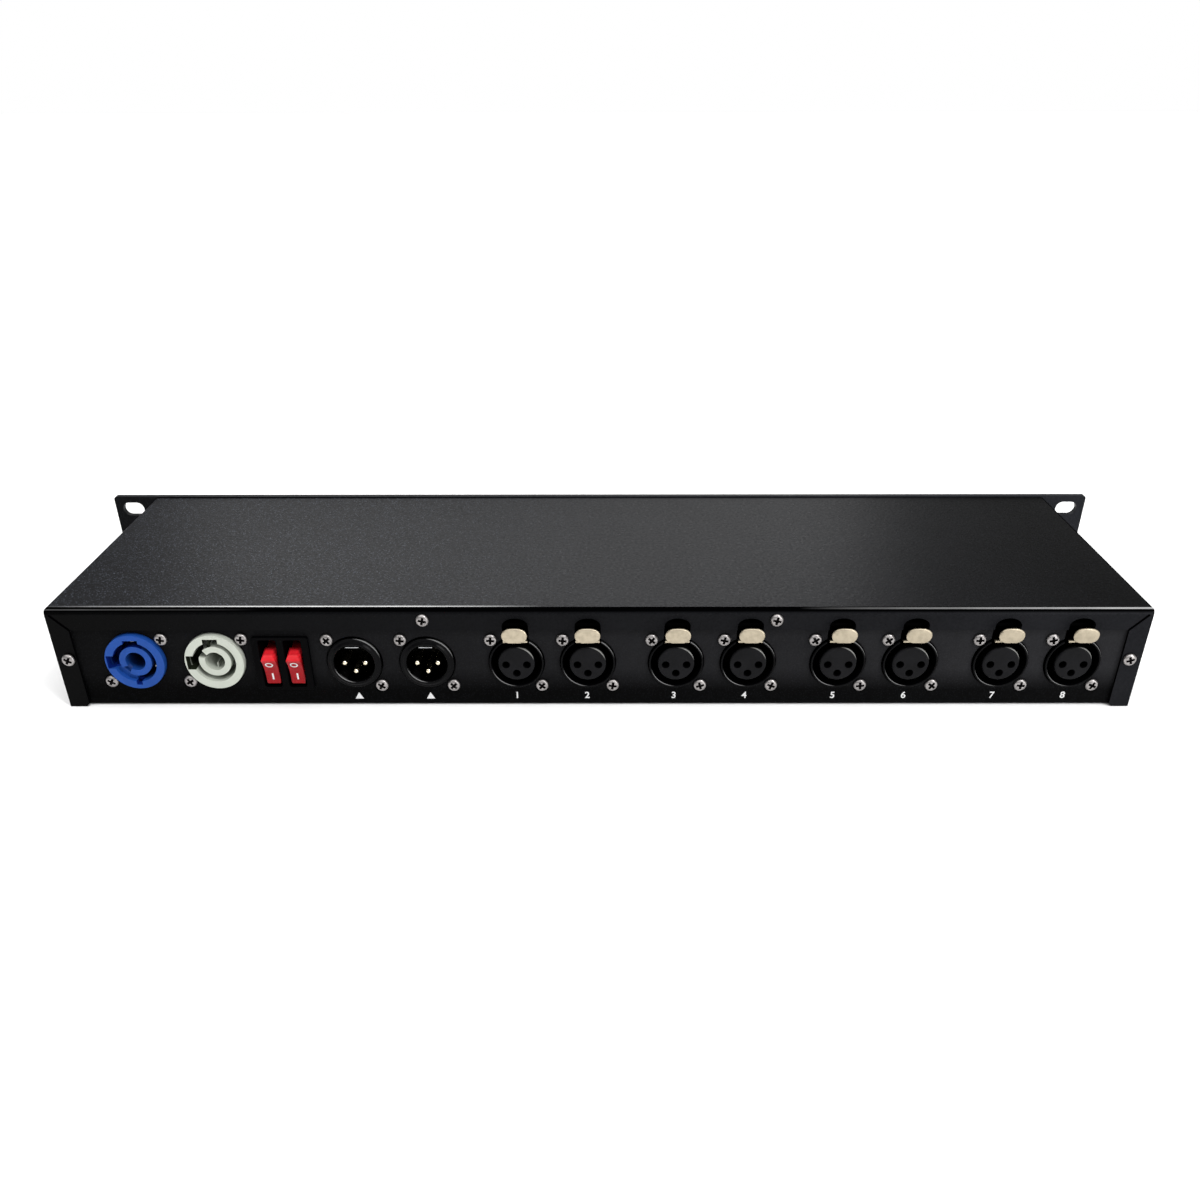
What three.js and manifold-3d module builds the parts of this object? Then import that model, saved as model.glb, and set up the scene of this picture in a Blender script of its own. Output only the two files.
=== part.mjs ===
// One-unit 19-inch rack splitter for a lighting control line: two inputs, eight
// isolated outputs, mains inlet and outlet, double rocker switch.
// Millimetres, +Z up. The connector side faces -Y, the rack panel is at +Y.
// Origin: the middle of the bounding box's base.

import * as THREE from 'three';
import { mergeVertices } from 'three/addons/utils/BufferGeometryUtils.js';
import Module from 'manifold-3d';

const wasm = await Module();
wasm.setup();

// ---------------------------------------------------------------- dimensions
const GAP = 0.3;             // clearance between touching pieces
const SHEET = 1.2;           // steel sheet thickness

const BOX_W = 440;           // chassis width over the cover's side walls
const BOX_H = 43.8;          // chassis height
const PANEL_W = 482.6;       // rack panel width
const PANEL_H = 44.4;        // rack panel height
const PANEL_T = 3.0;         // rack panel thickness
const PANEL_Y = 132.0;       // rear face of the rack panel, measured from the cover's rear edge
const PANEL_CORNER = 1.5;    // corner radius of the rack panel
const SLOT_X = 232.55;       // rack slot centres, half of 465.1
const SLOT_Z = 31.75;        // rack slot spacing in height
const SLOT_W = 10.4;         // rack slot length
const SLOT_H = 6.6;          // rack slot height

const EDGE_TOP = 9.0;        // rear edge of the cover, turned down
const EDGE_SIDE = 8.0;       // rear edges of the cover's sides, turned in
const MITRE_GAP = 0.5;       // slit between the turned edges
const EDGE_CHAMFER = 1.2;    // cut-off lower inner corner of the turned-in edges
const REAR_BEND_R = 1.6;     // outer radius of the cover's rear bend
const SIDE_BEND_R = 0.8;     // outer radius of the cover's side bends
const BASE_BEND_R = 1.5;     // outer radius of the base's bends
const WALL_Y = SHEET + GAP;  // outer face of the rear wall
const WALL_TOP = BOX_H - SHEET - 0.7;
const INNER_W = BOX_W - 2 * SHEET - 2 * GAP;

const SCREW_HEAD_R = 2.6;
const SCREW_HEAD_H = 1.3;
const SCREW_R = 1.3;
const SCREW_HOLE_R = 1.9;

// signal sockets (inputs and outputs)
const SOCKET_Z = 19.83;
const SOCKET_SCREW_X = 10.15;
const SOCKET_SCREW_Z = 10.27;
const SOCKET_HOLE_R = 11.5;
const SOCKET_NOSE_R = 11.1;
const SOCKET_FLANGE = 13.0;
const SOCKET_BODY_R = 12.0;
const INPUT_X = [-99.3, -69.65];
const OUTPUT_X = [-33.25, -4.2, 31.7, 60.93, 97.55, 126.93, 163.55, 192.9];
const MALE_BORE_R = 8.3;
const FEMALE_BORE_R = 10.3;
const INSERT_R = 7.45;
const CONTACTS = [[-4.25, -0.4], [4.25, -0.4], [0, -4.2]];
const CONTACT_R = 1.2;
const NOTCH_HALF = 5.2;      // hump-shaped notch above each latch
const NOTCH_TOP = 39.9;

// latch lever
const LATCH_PIN_Y = 12.5;
const LATCH_PIN_Z = 31.4;
const LATCH_HALF = 4.85;
const PAD_Y = -6.0;

// mains sockets
const MAINS_Z = 20.94;
const MAINS_X = [-188.25, -155.85];
const MAINS_SCREW_X = 12.0;
const MAINS_SCREW_Z = 9.5;
const MAINS_HOLE_R = 12.2;
const MAINS_NOSE_R = 11.9;
const MAINS_BORE_R = 8.75;

// double rocker switch
const SWITCH_X = -128.35;
const SWITCH_Z = 20.0;
const SWITCH_HALF_X = 11.5;
const SWITCH_HALF_Z = 11.75;
const ROCKER_PITCH = 10.1;
const ROCKER_HALF = 2.85;
const ROCKER_PIN_Y = 10.6;
const ROCKER_TILT = 16;      // degrees, the ON state drawn here

// indicators in the rack panel
const LED_X = [-178, -130, -112, -64, -42, -20, 2, 24, 46, 68, 90];
const LED_Z = 22.2;
const LED_R = 1.6;

const SIDE_SCREW_X = 215.0;
const SIDE_SCREW_Z = 21.9;
const EDGE_SCREW_X = [-69.85, 70.95];
const EDGE_SCREW_Z = 39.4;

const FRONT_Y = PANEL_Y + PANEL_T + 0.4;
const SHIFT_Y = -(PAD_Y + FRONT_Y) / 2;

// ---------------------------------------------------------------- solids
function solid(geometry) {
  const g = geometry.index ? geometry : geometry.clone();
  g.deleteAttribute('normal');
  g.deleteAttribute('uv');
  const m = mergeVertices(g, 1e-4);
  return new wasm.Manifold(new wasm.Mesh({
    numProp: 3,
    vertProperties: new Float32Array(m.attributes.position.array),
    triVerts: new Uint32Array(m.index.array),
  }));
}

function box(x0, x1, y0, y1, z0, z1) {
  const g = new THREE.BoxGeometry(x1 - x0, y1 - y0, z1 - z0);
  g.translate((x0 + x1) / 2, (y0 + y1) / 2, (z0 + z1) / 2);
  return solid(g);
}

function shapeOf(points) {
  const s = new THREE.Shape();
  points.forEach(([a, b], i) => (i ? s.lineTo(a, b) : s.moveTo(a, b)));
  s.closePath();
  return s;
}

// outline in (x, z), extruded along Y
function prismY(points, y0, y1) {
  const g = new THREE.ExtrudeGeometry(shapeOf(points), { depth: y1 - y0, bevelEnabled: false, steps: 1 });
  g.applyMatrix4(new THREE.Matrix4().makeBasis(
    new THREE.Vector3(1, 0, 0), new THREE.Vector3(0, 0, 1), new THREE.Vector3(0, -1, 0)));
  g.translate(0, y1, 0);
  return solid(g);
}

// outline in (y, z), extruded along X
function prismX(points, x0, x1) {
  const g = new THREE.ExtrudeGeometry(shapeOf(points), { depth: x1 - x0, bevelEnabled: false, steps: 1 });
  g.applyMatrix4(new THREE.Matrix4().makeBasis(
    new THREE.Vector3(0, 1, 0), new THREE.Vector3(0, 0, 1), new THREE.Vector3(1, 0, 0)));
  g.translate(x0, 0, 0);
  return solid(g);
}

// outline in (x, y), extruded along Z
function prismZ(points, z0, z1) {
  const g = new THREE.ExtrudeGeometry(shapeOf(points), { depth: z1 - z0, bevelEnabled: false, steps: 1 });
  g.translate(0, 0, z0);
  return solid(g);
}

function cylY(x, z, r, y0, y1, n = 24) {
  const g = new THREE.CylinderGeometry(r, r, y1 - y0, n);
  g.translate(0, (y0 + y1) / 2, 0);
  g.applyMatrix4(new THREE.Matrix4().makeTranslation(x, 0, z));
  return solid(g);
}

function cylX(y, z, r, x0, x1, n = 8) {
  const g = new THREE.CylinderGeometry(r, r, x1 - x0, n);
  g.rotateZ(-Math.PI / 2);
  g.translate((x0 + x1) / 2, y, z);
  return solid(g);
}

function cylZ(x, y, r, z0, z1, n = 10) {
  const g = new THREE.CylinderGeometry(r, r, z1 - z0, n);
  g.rotateX(Math.PI / 2);
  g.translate(x, y, (z0 + z1) / 2);
  return solid(g);
}

const join = (...parts) => parts.flat(Infinity).reduce((a, b) => a.add(b));
const cut = (a, ...parts) => parts.flat(Infinity).reduce((s, b) => s.subtract(b), a);
const place = (points, dx, dz) => points.map(([x, z]) => [x + dx, z + dz]);

// ---------------------------------------------------------------- materials
const paint = (color, roughness, metalness = 0) =>
  new THREE.MeshStandardMaterial({ color, roughness, metalness });
const MAT = {
  cover: () => paint(0x2e2f31, 0.62, 0.15),
  chassis: () => paint(0x16171a, 0.5, 0.15),
  panel: () => paint(0x1b1c1e, 0.55, 0.15),
  blue: () => paint(0x2450c8, 0.4),
  grey: () => paint(0xd6ddd0, 0.45),
  black: () => paint(0x101012, 0.45),
  red: () => paint(0xc8102e, 0.3),
  screw: () => paint(0xb9b2ae, 0.35, 0.9),
  steel: () => paint(0x9a9c9e, 0.45, 0.9),
  latch: () => paint(0xd9ceb8, 0.35, 0.8),
  gold: () => paint(0xd9b978, 0.25, 1),
  insert: () => paint(0x26272a, 0.55),
  board: () => paint(0x1d5a36, 0.6),
  supply: () => paint(0x8c8f93, 0.5, 0.5),
  clear: () => paint(0xe8f0e4, 0.2),
};

const unit = new THREE.Group();
unit.name = 'splitter';
const frame = new THREE.Group();
frame.position.y = SHIFT_Y;
unit.add(frame);

function piece(name, manifold, material, parent = frame) {
  const m = manifold.getMesh();
  const g = new THREE.BufferGeometry();
  g.setAttribute('position', new THREE.BufferAttribute(new Float32Array(m.vertProperties), 3));
  g.setIndex(new THREE.BufferAttribute(new Uint32Array(m.triVerts), 1));
  g.computeVertexNormals();
  const mesh = new THREE.Mesh(g, material);
  mesh.name = name;
  parent.add(mesh);
  return mesh;
}

// ---------------------------------------------------------------- outlines
function roundedRect(hx, hz, r, n = 3) {
  const pts = [];
  [[hx - r, hz - r, 0], [-hx + r, hz - r, 90], [-hx + r, -hz + r, 180], [hx - r, -hz + r, 270]]
    .forEach(([cx, cz, a0]) => {
      for (let i = 0; i <= n; i++) {
        const a = THREE.MathUtils.degToRad(a0 + (90 * i) / n);
        pts.push([cx + r * Math.cos(a), cz + r * Math.sin(a)]);
      }
    });
  return pts;
}

// hump over a latch: straight sides, flattened round top
function hump(xc, zLow) {
  const pts = [[xc - NOTCH_HALF, zLow], [xc + NOTCH_HALF, zLow]];
  const rise = 3.3, n = 8;
  for (let i = 0; i <= n; i++) {
    const a = (Math.PI * i) / n;
    pts.push([xc + NOTCH_HALF * Math.cos(a), NOTCH_TOP - rise + rise * Math.sin(a)]);
  }
  return pts;
}

// ---------------------------------------------------------------- top cover
// quarter arc from angle a0 (degrees) about (cx, cy)
function arc(cx, cy, r, a0, n = 3) {
  const pts = [];
  for (let i = 0; i <= n; i++) {
    const a = THREE.MathUtils.degToRad(a0 + (90 * i) / n);
    pts.push([cx + r * Math.cos(a), cy + r * Math.sin(a)]);
  }
  return pts;
}
// block with its top rear edge and top side edges rounded, or sharp where the radius is 0
function bentBlock(w, y0, y1, z0, z1, rRear, rSide) {
  const rearTop = rRear > 0 ? arc(y0 + rRear, z1 - rRear, rRear, 90) : [[y0, z1]];
  const right = rSide > 0 ? arc(w - rSide, z1 - rSide, rSide, 0) : [[w, z1]];
  const left = rSide > 0 ? arc(-w + rSide, z1 - rSide, rSide, 90) : [[-w, z1]];
  const side = prismX([[y0, z0], [y1, z0], [y1, z1], ...rearTop], -w, w);
  const rear = prismY([[-w, z0], [w, z0], ...right, ...left], y0 - 0.1, y1 + 0.1);
  return side.intersect(rear);
}
{
  const w = BOX_W / 2, yFront = PANEL_Y - GAP;
  const xe = w - EDGE_SIDE, ze = BOX_H - EDGE_TOP, c = EDGE_CHAMFER;
  let s = bentBlock(w, 0, yFront, 0, BOX_H, REAR_BEND_R, SIDE_BEND_R)
    .subtract(bentBlock(w - SHEET, SHEET, yFront + 2, -2, BOX_H - SHEET, REAR_BEND_R - SHEET, 0))
    .subtract(prismY([[-xe - c - 1, -1], [xe + c + 1, -1], [xe, c], [xe, ze], [-xe, ze], [-xe, c]], -1, SHEET + 0.5));
  // mitre slit from the inner corner of the turned edges towards the outer corner
  for (const sx of [-1, 1]) {
    const xi = w - EDGE_SIDE - 1, zi = BOX_H - EDGE_TOP - 1 + 0.3;
    const xo = w - SHEET - 0.5, zo = zi + (xo - xi);
    const t = MITRE_GAP / Math.SQRT2;
    const pts = [[sx * (xi - t), zi + t], [sx * (xi + t), zi - t], [sx * (xo + t), zo - t], [sx * (xo - t), zo + t]];
    s = s.subtract(prismY(sx > 0 ? pts : pts.slice().reverse(), -1, SHEET + 0.01));
    s = s.subtract(cylY(sx * SIDE_SCREW_X, SIDE_SCREW_Z, SCREW_HOLE_R, -1, SHEET + 1, 8));
  }
  for (const x of OUTPUT_X) s = s.subtract(prismY(hump(x, BOX_H - EDGE_TOP - 1), -1, SHEET + 0.01));
  for (const x of EDGE_SCREW_X) s = s.subtract(cylY(x, EDGE_SCREW_Z, SCREW_HOLE_R, -1, SHEET + 1, 8));
  piece('top_cover', s, MAT.cover());
}

// ---------------------------------------------------------------- chassis base
{
  const w = INNER_W / 2, y0 = WALL_Y, y1 = WALL_Y + SHEET;
  const yf1 = PANEL_Y - GAP, yf0 = yf1 - SHEET;
  const r = BASE_BEND_R, ri = BASE_BEND_R - SHEET;
  const s = prismX([...arc(y0 + r, r, r, 180), ...arc(yf1 - r, r, r, 270),
    [yf1, WALL_TOP], [yf0, WALL_TOP], ...arc(yf0 - ri, SHEET + ri, ri, 270).reverse(),
    ...arc(y1 + ri, SHEET + ri, ri, 180).reverse(), [y1, WALL_TOP], [y0, WALL_TOP]], -w, w);
  const holes = [];
  for (const x of MAINS_X) {
    holes.push(cylY(x, MAINS_Z, MAINS_HOLE_R, 0, 4, 24));
    for (const k of [-1, 1]) holes.push(cylY(x + k * MAINS_SCREW_X, MAINS_Z + k * MAINS_SCREW_Z, SCREW_HOLE_R, 0, 4, 6));
  }
  holes.push(box(SWITCH_X - 10.3, SWITCH_X + 10.3, 0, 4, SWITCH_Z - 11.5, SWITCH_Z + 11.5));
  for (const x of [...INPUT_X, ...OUTPUT_X]) {
    holes.push(cylY(x, SOCKET_Z, SOCKET_HOLE_R, 0, 4, 20));
    for (const k of [-1, 1]) holes.push(cylY(x + k * SOCKET_SCREW_X, SOCKET_Z - k * SOCKET_SCREW_Z, SCREW_HOLE_R, 0, 4, 6));
  }
  for (const x of OUTPUT_X) holes.push(prismY(hump(x, SOCKET_Z + 8), 0, 4));
  for (const x of EDGE_SCREW_X) holes.push(cylY(x, EDGE_SCREW_Z, SCREW_HOLE_R, 0, 4, 6));
  for (const sx of [-1, 1]) holes.push(cylY(sx * SIDE_SCREW_X, SIDE_SCREW_Z, SCREW_HOLE_R, 0, 4, 6));
  holes.push(box(LED_X[0] - 4, LED_X[LED_X.length - 1] + 4, yf0 - 1, yf1 + 1, LED_Z - 2.2, LED_Z + 2.2));
  for (const sx of [-1, 1]) for (const z of [8, 36]) holes.push(cylY(sx * 205, z, SCREW_HOLE_R, yf0 - 1, yf1 + 1, 6));
  piece('chassis_base', cut(s, holes), MAT.chassis());
}

// ---------------------------------------------------------------- rack panel
{
  const y0 = PANEL_Y, y1 = PANEL_Y + PANEL_T, zc = PANEL_H / 2;
  let s = prismY(place(roundedRect(PANEL_W / 2, PANEL_H / 2, PANEL_CORNER), 0, zc), y0, y1);
  const holes = [];
  for (const sx of [-1, 1]) for (const sz of [-1, 1]) {
    holes.push(prismY(place(roundedRect(SLOT_W / 2, SLOT_H / 2, SLOT_H / 2 - 0.01, 3), sx * SLOT_X, zc + sz * SLOT_Z / 2), y0 - 1, y1 + 1));
  }
  for (const x of LED_X) holes.push(cylY(x, LED_Z, LED_R + 0.4, y0 - 1, y1 + 1, 6));
  for (const sx of [-1, 1]) for (const z of [8, 36]) {
    holes.push(cylY(sx * 205, z, SCREW_HOLE_R, y0 - 1, y1 + 1, 6));
    holes.push(cylY(sx * 205, z, 3.3, y1 - 1.7, y1 + 1, 8));
  }
  piece('front_panel', cut(s, holes), MAT.panel());
}

// ---------------------------------------------------------------- screws
// a pan head in front of yHead and a shank running back to yEnd
function screw(x, z, yHead, yEnd, headR = SCREW_HEAD_R, headH = SCREW_HEAD_H) {
  return [cylY(x, z, headR, yHead - headH, yHead, 10), cylY(x, z, SCREW_R, yHead - 0.3, yEnd, 6)];
}

// ---------------------------------------------------------------- mains sockets
const STRIP_MAINS = [[15.5, 12.5], [8.6, 12.5], [8.6, 9.3], [12.7, 3.6], [12.7, -12.7], [-5.3, -12.7],
  [-10.9, -7.0], [-15.5, -7.0], [-15.5, -14.5], [15.5, -14.5]];

function mainsBody(xc, gapAngle, gapHalf, keys) {
  const zc = MAINS_Z, rad = THREE.MathUtils.degToRad;
  let s = join(
    cylY(xc, zc, MAINS_NOSE_R, -1.0, 3.1, 28),
    box(xc - 15.5, xc + 15.5, 3.0, 5.4, zc - 13, zc + 13),
    cylY(xc, zc, 12.2, 5.3, 24, 18),
  );
  const annulus = cut(cylY(xc, zc, MAINS_BORE_R, -2, 13, 24), cylY(xc, zc, 6.5, -3, 14, 20));
  const bore = cylY(xc, zc, 4.0, -2, 12, 16);
  const front = cylY(xc, zc, MAINS_BORE_R, -2, 0.0, 24);
  // wedge-shaped slit that opens the collar on one side
  const a0 = rad(gapAngle - gapHalf), a1 = rad(gapAngle + gapHalf);
  const slit = prismY([[xc, zc], [xc + 9.5 * Math.cos(a0), zc + 9.5 * Math.sin(a0)],
    [xc + 9.5 * Math.cos(a1), zc + 9.5 * Math.sin(a1)]], -2, 11).intersect(cylY(xc, zc, 7.6, -3, 12, 24));
  s = cut(s, annulus, bore, front, slit);
  for (const [x0, x1, z0, z1, depth] of keys) s = s.subtract(box(xc + x0, xc + x1, -2, depth, zc + z0, zc + z1));
  for (const k of [-1, 1]) s = s.subtract(cylY(xc + k * MAINS_SCREW_X, zc + k * MAINS_SCREW_Z, SCREW_HOLE_R, 2, 5.5, 6));
  return s;
}
piece('power_inlet', mainsBody(MAINS_X[0], 222, 17, [[-11.2, -8, -2.8, 2.8, 9], [-1.2, 1.2, -10.2, -8, 6], [-3, 3, 8, 9.6, 4]]), MAT.blue());
piece('power_outlet', mainsBody(MAINS_X[1], 148, 15, [[-11.2, -8, -3.2, 2.8, 9], [-3.2, 2.8, 8, 10.2, 6]]), MAT.grey());
MAINS_X.forEach((xc, i) => {
  const s = join(
    prismY(place(STRIP_MAINS, xc, MAINS_Z).reverse(), 5.7, 7.2),
    [-1, 1].map((k) => screw(xc + k * MAINS_SCREW_X, MAINS_Z + k * MAINS_SCREW_Z, WALL_Y - GAP, 9.5)),
  );
  piece(['power_inlet_fixing', 'power_outlet_fixing'][i], s, MAT.screw());
});

// ---------------------------------------------------------------- switch
{
  const xc = SWITCH_X, zc = SWITCH_Z;
  let s = join(
    prismY(place(roundedRect(SWITCH_HALF_X, SWITCH_HALF_Z, 1.2, 2), xc, zc), -0.6, WALL_Y - GAP),
    box(xc - 10, xc + 10, WALL_Y - GAP - 0.1, 24, zc - 11.2, zc + 11.2),
  );
  for (const k of [-1, 1]) {
    const xr = xc + (k * ROCKER_PITCH) / 2;
    s = s.subtract(box(xr - 3.6, xr + 3.6, -2, 15.5, zc - 10.6, zc + 10.6));
    s = s.subtract(cylX(ROCKER_PIN_Y, zc, 1.45, xr - 4.5, xr + 4.5, 8));
    for (const h of [-7, 0, 7]) s = s.add(box(xr - 0.4, xr + 0.4, 23.8, 31, zc + h - 2.4, zc + h + 2.4));
  }
  piece('switch_housing', s, MAT.black());

  // rocker profile: [height from the pin, distance forward of the pin], untilted
  const prof = [[6.5, 12.4], [0, 11.16], [-6.5, 12.4], [-8.2, 8.6], [-8.2, 6.5], [-4, -2.5], [4, -2.5], [8.2, 6.5], [8.2, 8.6]];
  ['rocker_left', 'rocker_right'].forEach((name, i) => {
    const x = xc + (i ? 1 : -1) * ROCKER_PITCH / 2;
    const pts = prof.map(([h, l]) => [-l, h]).reverse();
    const outline = prismY(roundedRect(ROCKER_HALF, 8.2, 1.8, 3), -14, 4);
    const r = join(prismX(pts, -ROCKER_HALF, ROCKER_HALF).intersect(outline), cylX(0, 0, 1.0, -4.3, 4.3, 8));
    const g = new THREE.Group();
    g.position.set(x, ROCKER_PIN_Y, zc);
    g.rotation.x = THREE.MathUtils.degToRad(ROCKER_TILT);
    frame.add(g);
    piece(name, r, MAT.red(), g);
  });
}

// ---------------------------------------------------------------- socket parts
const STRIP_SOCKET = [[-14.2, 13], [-14.2, -14.2], [13, -14.2], [13, -5.2], [5.2, -13], [-13, -13],
  [-13, 5.2], [-7.8, 10.4], [-7.8, 13]];

function socketFixing(xc) {
  return join(
    prismY(place(STRIP_SOCKET, xc, SOCKET_Z), 5.7, 7.2),
    [-1, 1].map((k) => screw(xc + k * SOCKET_SCREW_X, SOCKET_Z - k * SOCKET_SCREW_Z, WALL_Y - GAP, 9.5)),
  );
}
const flangeHoles = (xc) => [-1, 1].map((k) =>
  cylY(xc + k * SOCKET_SCREW_X, SOCKET_Z - k * SOCKET_SCREW_Z, SCREW_HOLE_R, 2, 5.5, 6));

// ---------------------------------------------------------------- inputs
INPUT_X.forEach((xc, i) => {
  const tag = 'input_' + 'ab'[i], zc = SOCKET_Z;
  let s = join(
    cylY(xc, zc, SOCKET_NOSE_R, -0.5, 3.1, 24),
    box(xc - SOCKET_FLANGE, xc + SOCKET_FLANGE, 3.0, 5.4, zc - SOCKET_FLANGE, zc + SOCKET_FLANGE),
    cylY(xc, zc, SOCKET_BODY_R, 5.3, 18, 16),
  );
  const key = box(xc - 2.85, xc + 2.85, 0, 10, zc + 7.3, zc + 9.0);
  s = cut(s, cylY(xc, zc, MALE_BORE_R, -2, 16, 24).subtract(key), flangeHoles(xc));
  for (const [dx, dz] of CONTACTS) s = s.subtract(cylY(xc + dx, zc + dz, CONTACT_R + 0.5, 15, 19, 8));
  piece(tag + '_shell', s, MAT.black());
  CONTACTS.forEach(([dx, dz], k) => {
    const g = new THREE.LatheGeometry(
      [[0, 0], [0.8, 0.25], [1.2, 1.0], [1.2, 19.4], [0, 19.4]].map(([r, h]) => new THREE.Vector2(r, h)), 8);
    const p = piece(`${tag}_pin_${k + 1}`, solid(g), MAT.gold());
    p.position.set(xc + dx, 0.8, zc + dz);
  });
  piece(tag + '_fixing', socketFixing(xc), MAT.screw());
});

// ---------------------------------------------------------------- outputs
const PAD = [[-2.4, 31.7], [2.4, 31.7], [4.1, 32.6], [4.9, 33.9], [5.05, 35.1], [4.6, 36.5], [3.3, 37.5], [1.4, 37.95],
  [-1.4, 37.95], [-3.3, 37.5], [-4.6, 36.5], [-5.05, 35.1], [-4.9, 33.9], [-4.1, 32.6]];

OUTPUT_X.forEach((xc, i) => {
  const tag = `output_${i + 1}`, zc = SOCKET_Z;
  let s = join(
    cylY(xc, zc, SOCKET_NOSE_R, 0, 3.1, 24),
    box(xc - SOCKET_FLANGE, xc + SOCKET_FLANGE, 3.0, 5.4, zc - SOCKET_FLANGE, zc + SOCKET_FLANGE),
    cylY(xc, zc, SOCKET_BODY_R, 5.3, 17, 16),
    box(xc - 7.4, xc + 7.4, 5.3, 17, 28, 35.4),
  );
  s = cut(s,
    cylY(xc, zc, FEMALE_BORE_R, -2, 15.5, 20),
    box(xc - 5.5, xc + 5.5, -2, 15.5, zc + 6, 34.1),
    cylX(LATCH_PIN_Y, LATCH_PIN_Z, 1.5, xc - 7, xc + 7, 6),
    flangeHoles(xc));
  piece(tag + '_shell', s, MAT.black());

  let ins = cylY(xc, zc, INSERT_R, -0.3, 15.2, 18);
  for (const [dx, dz] of CONTACTS) ins = ins.subtract(cylY(xc + dx, zc + dz, 1.35, -2, 8, 6));
  piece(tag + '_insert', ins, MAT.insert());

  // flat tongue with a hook below it, a narrow neck rising forward, an oval thumb pad
  const lever = join(
    box(xc - LATCH_HALF, xc + LATCH_HALF, -2, 13.4, 30.2, 31.0),
    prismX([[-2, 30.2], [-0.9, 31.0], [-5.0, 33.3], [-6.0, 33.3], [-6.0, 32.1]].reverse(), xc - 2.3, xc + 2.3),
    box(xc - 2.5, xc + 2.5, 4, 6, 29.1, 30.4),
    cylX(LATCH_PIN_Y, LATCH_PIN_Z, 1.0, xc - 6.7, xc + 6.7, 6),
    prismY(place(PAD, xc, 0), PAD_Y, PAD_Y + 1.0),
  );
  piece(tag + '_latch', lever, MAT.latch());
  piece(tag + '_fixing', socketFixing(xc), MAT.screw());
});

// ---------------------------------------------------------------- cover screws
EDGE_SCREW_X.forEach((x, i) => piece(['cover_screw_left', 'cover_screw_right'][i],
  join(screw(x, EDGE_SCREW_Z, -GAP, 6)), MAT.screw()));
[-1, 1].forEach((sx, i) => piece(['side_screw_left', 'side_screw_right'][i],
  join(screw(sx * SIDE_SCREW_X, SIDE_SCREW_Z, -GAP, 6)), MAT.screw()));

// ---------------------------------------------------------------- inside
const SPACERS = [[-108, 18], [-108, 92], [50, 92], [203, 18], [203, 92], [50, 40]];
{
  const z0 = 5.6, z1 = 7.2;
  const blocks = [];
  OUTPUT_X.forEach((x, i) => {
    blocks.push(box(x - 9, x + 9, 44, 56, z1 - 0.1, 16.5));       // isolated converter of each output
    if (i % 2 === 0) blocks.push(box(x + 2, x + 26, 66, 74, z1 - 0.1, 10.5)); // couplers of the pair
  });
  for (const x of INPUT_X) blocks.push(box(x - 5, x + 5, 40, 50, z1 - 0.1, 10.5));
  blocks.push(box(-92, -72, 74, 90, z1 - 0.1, 15));               // supply terminal block
  const spacers = SPACERS.map(([x, y]) => cylZ(x, y, 2.5, SHEET + GAP, z0 + 0.1, 6));
  const s = join(box(-113, 208, 9.5, 99, z0, z1), blocks, spacers);
  piece('main_board', s, MAT.board());
}
{
  const s = join(
    box(-210, -122, 38, 118, 5, 6.6),
    box(-208, -178, 42, 76, 6.5, 33),        // transformer
    box(-172, -134, 42, 54, 6.5, 30),        // heat sink
    cylZ(-196, 96, 8, 6.5, 32, 14),          // reservoir capacitor
    cylZ(-174, 98, 8, 6.5, 32, 14),
    box(-158, -126, 88, 114, 6.5, 18),       // terminal block
    box(-168, -128, 64, 78, 6.5, 24),        // line filter
  );
  piece('power_supply', s, MAT.supply());
}
{
  const y1 = PANEL_Y - GAP - SHEET - GAP;
  const s = join(
    box(LED_X[0] - 5, LED_X[LED_X.length - 1] + 5, y1 - 4, y1, LED_Z - 3, LED_Z + 3),
    LED_X.map((x) => cylY(x, LED_Z, LED_R, y1 - 0.5, FRONT_Y, 6)),
  );
  piece('indicator_light_pipe', s, MAT.clear());
}
{
  // countersunk heads flush in the rack panel, joined by a backing frame behind the front wall
  const yw = PANEL_Y - GAP - SHEET - GAP;
  const yHead = PANEL_Y + PANEL_T;
  const bar = [];
  for (const sx of [-1, 1]) {
    bar.push(box(sx * 205 - 4, sx * 205 + 4, yw - 2, yw, 5, 39));
    for (const z of [8, 36]) bar.push(cylY(sx * 205, z, 2.8, yHead - 1.4, yHead, 8), cylY(sx * 205, z, SCREW_R, yw - 3, yHead - 1.2, 6));
  }
  bar.push(box(-205, 205, yw - 2, yw, 4, 8));
  piece('front_panel_fixing', join(bar), MAT.steel());
}

export default unit;
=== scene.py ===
import math
import random

import bmesh
import bpy
from mathutils import Matrix, Vector


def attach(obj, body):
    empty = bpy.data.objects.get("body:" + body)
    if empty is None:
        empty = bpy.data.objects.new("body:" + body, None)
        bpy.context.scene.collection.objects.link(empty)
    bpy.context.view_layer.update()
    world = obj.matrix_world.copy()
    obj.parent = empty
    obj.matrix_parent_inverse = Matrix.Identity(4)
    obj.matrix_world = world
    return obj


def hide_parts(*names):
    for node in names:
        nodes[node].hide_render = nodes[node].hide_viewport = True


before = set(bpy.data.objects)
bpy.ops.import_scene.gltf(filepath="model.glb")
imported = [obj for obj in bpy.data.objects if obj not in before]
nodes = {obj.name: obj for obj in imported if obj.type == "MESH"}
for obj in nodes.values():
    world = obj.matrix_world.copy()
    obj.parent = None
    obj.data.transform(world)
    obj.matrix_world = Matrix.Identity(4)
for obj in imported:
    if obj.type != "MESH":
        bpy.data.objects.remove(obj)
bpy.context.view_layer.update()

random.seed(7)
scene = bpy.context.scene

# ------------------------------------------------------------------ units
# The shapes below are written in millimetres with y counted from the cover's
# rear edge; mm() turns them into the frame's metres.
SHIFT_Y = -64.7
BOX_TOP = 43.8


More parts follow.
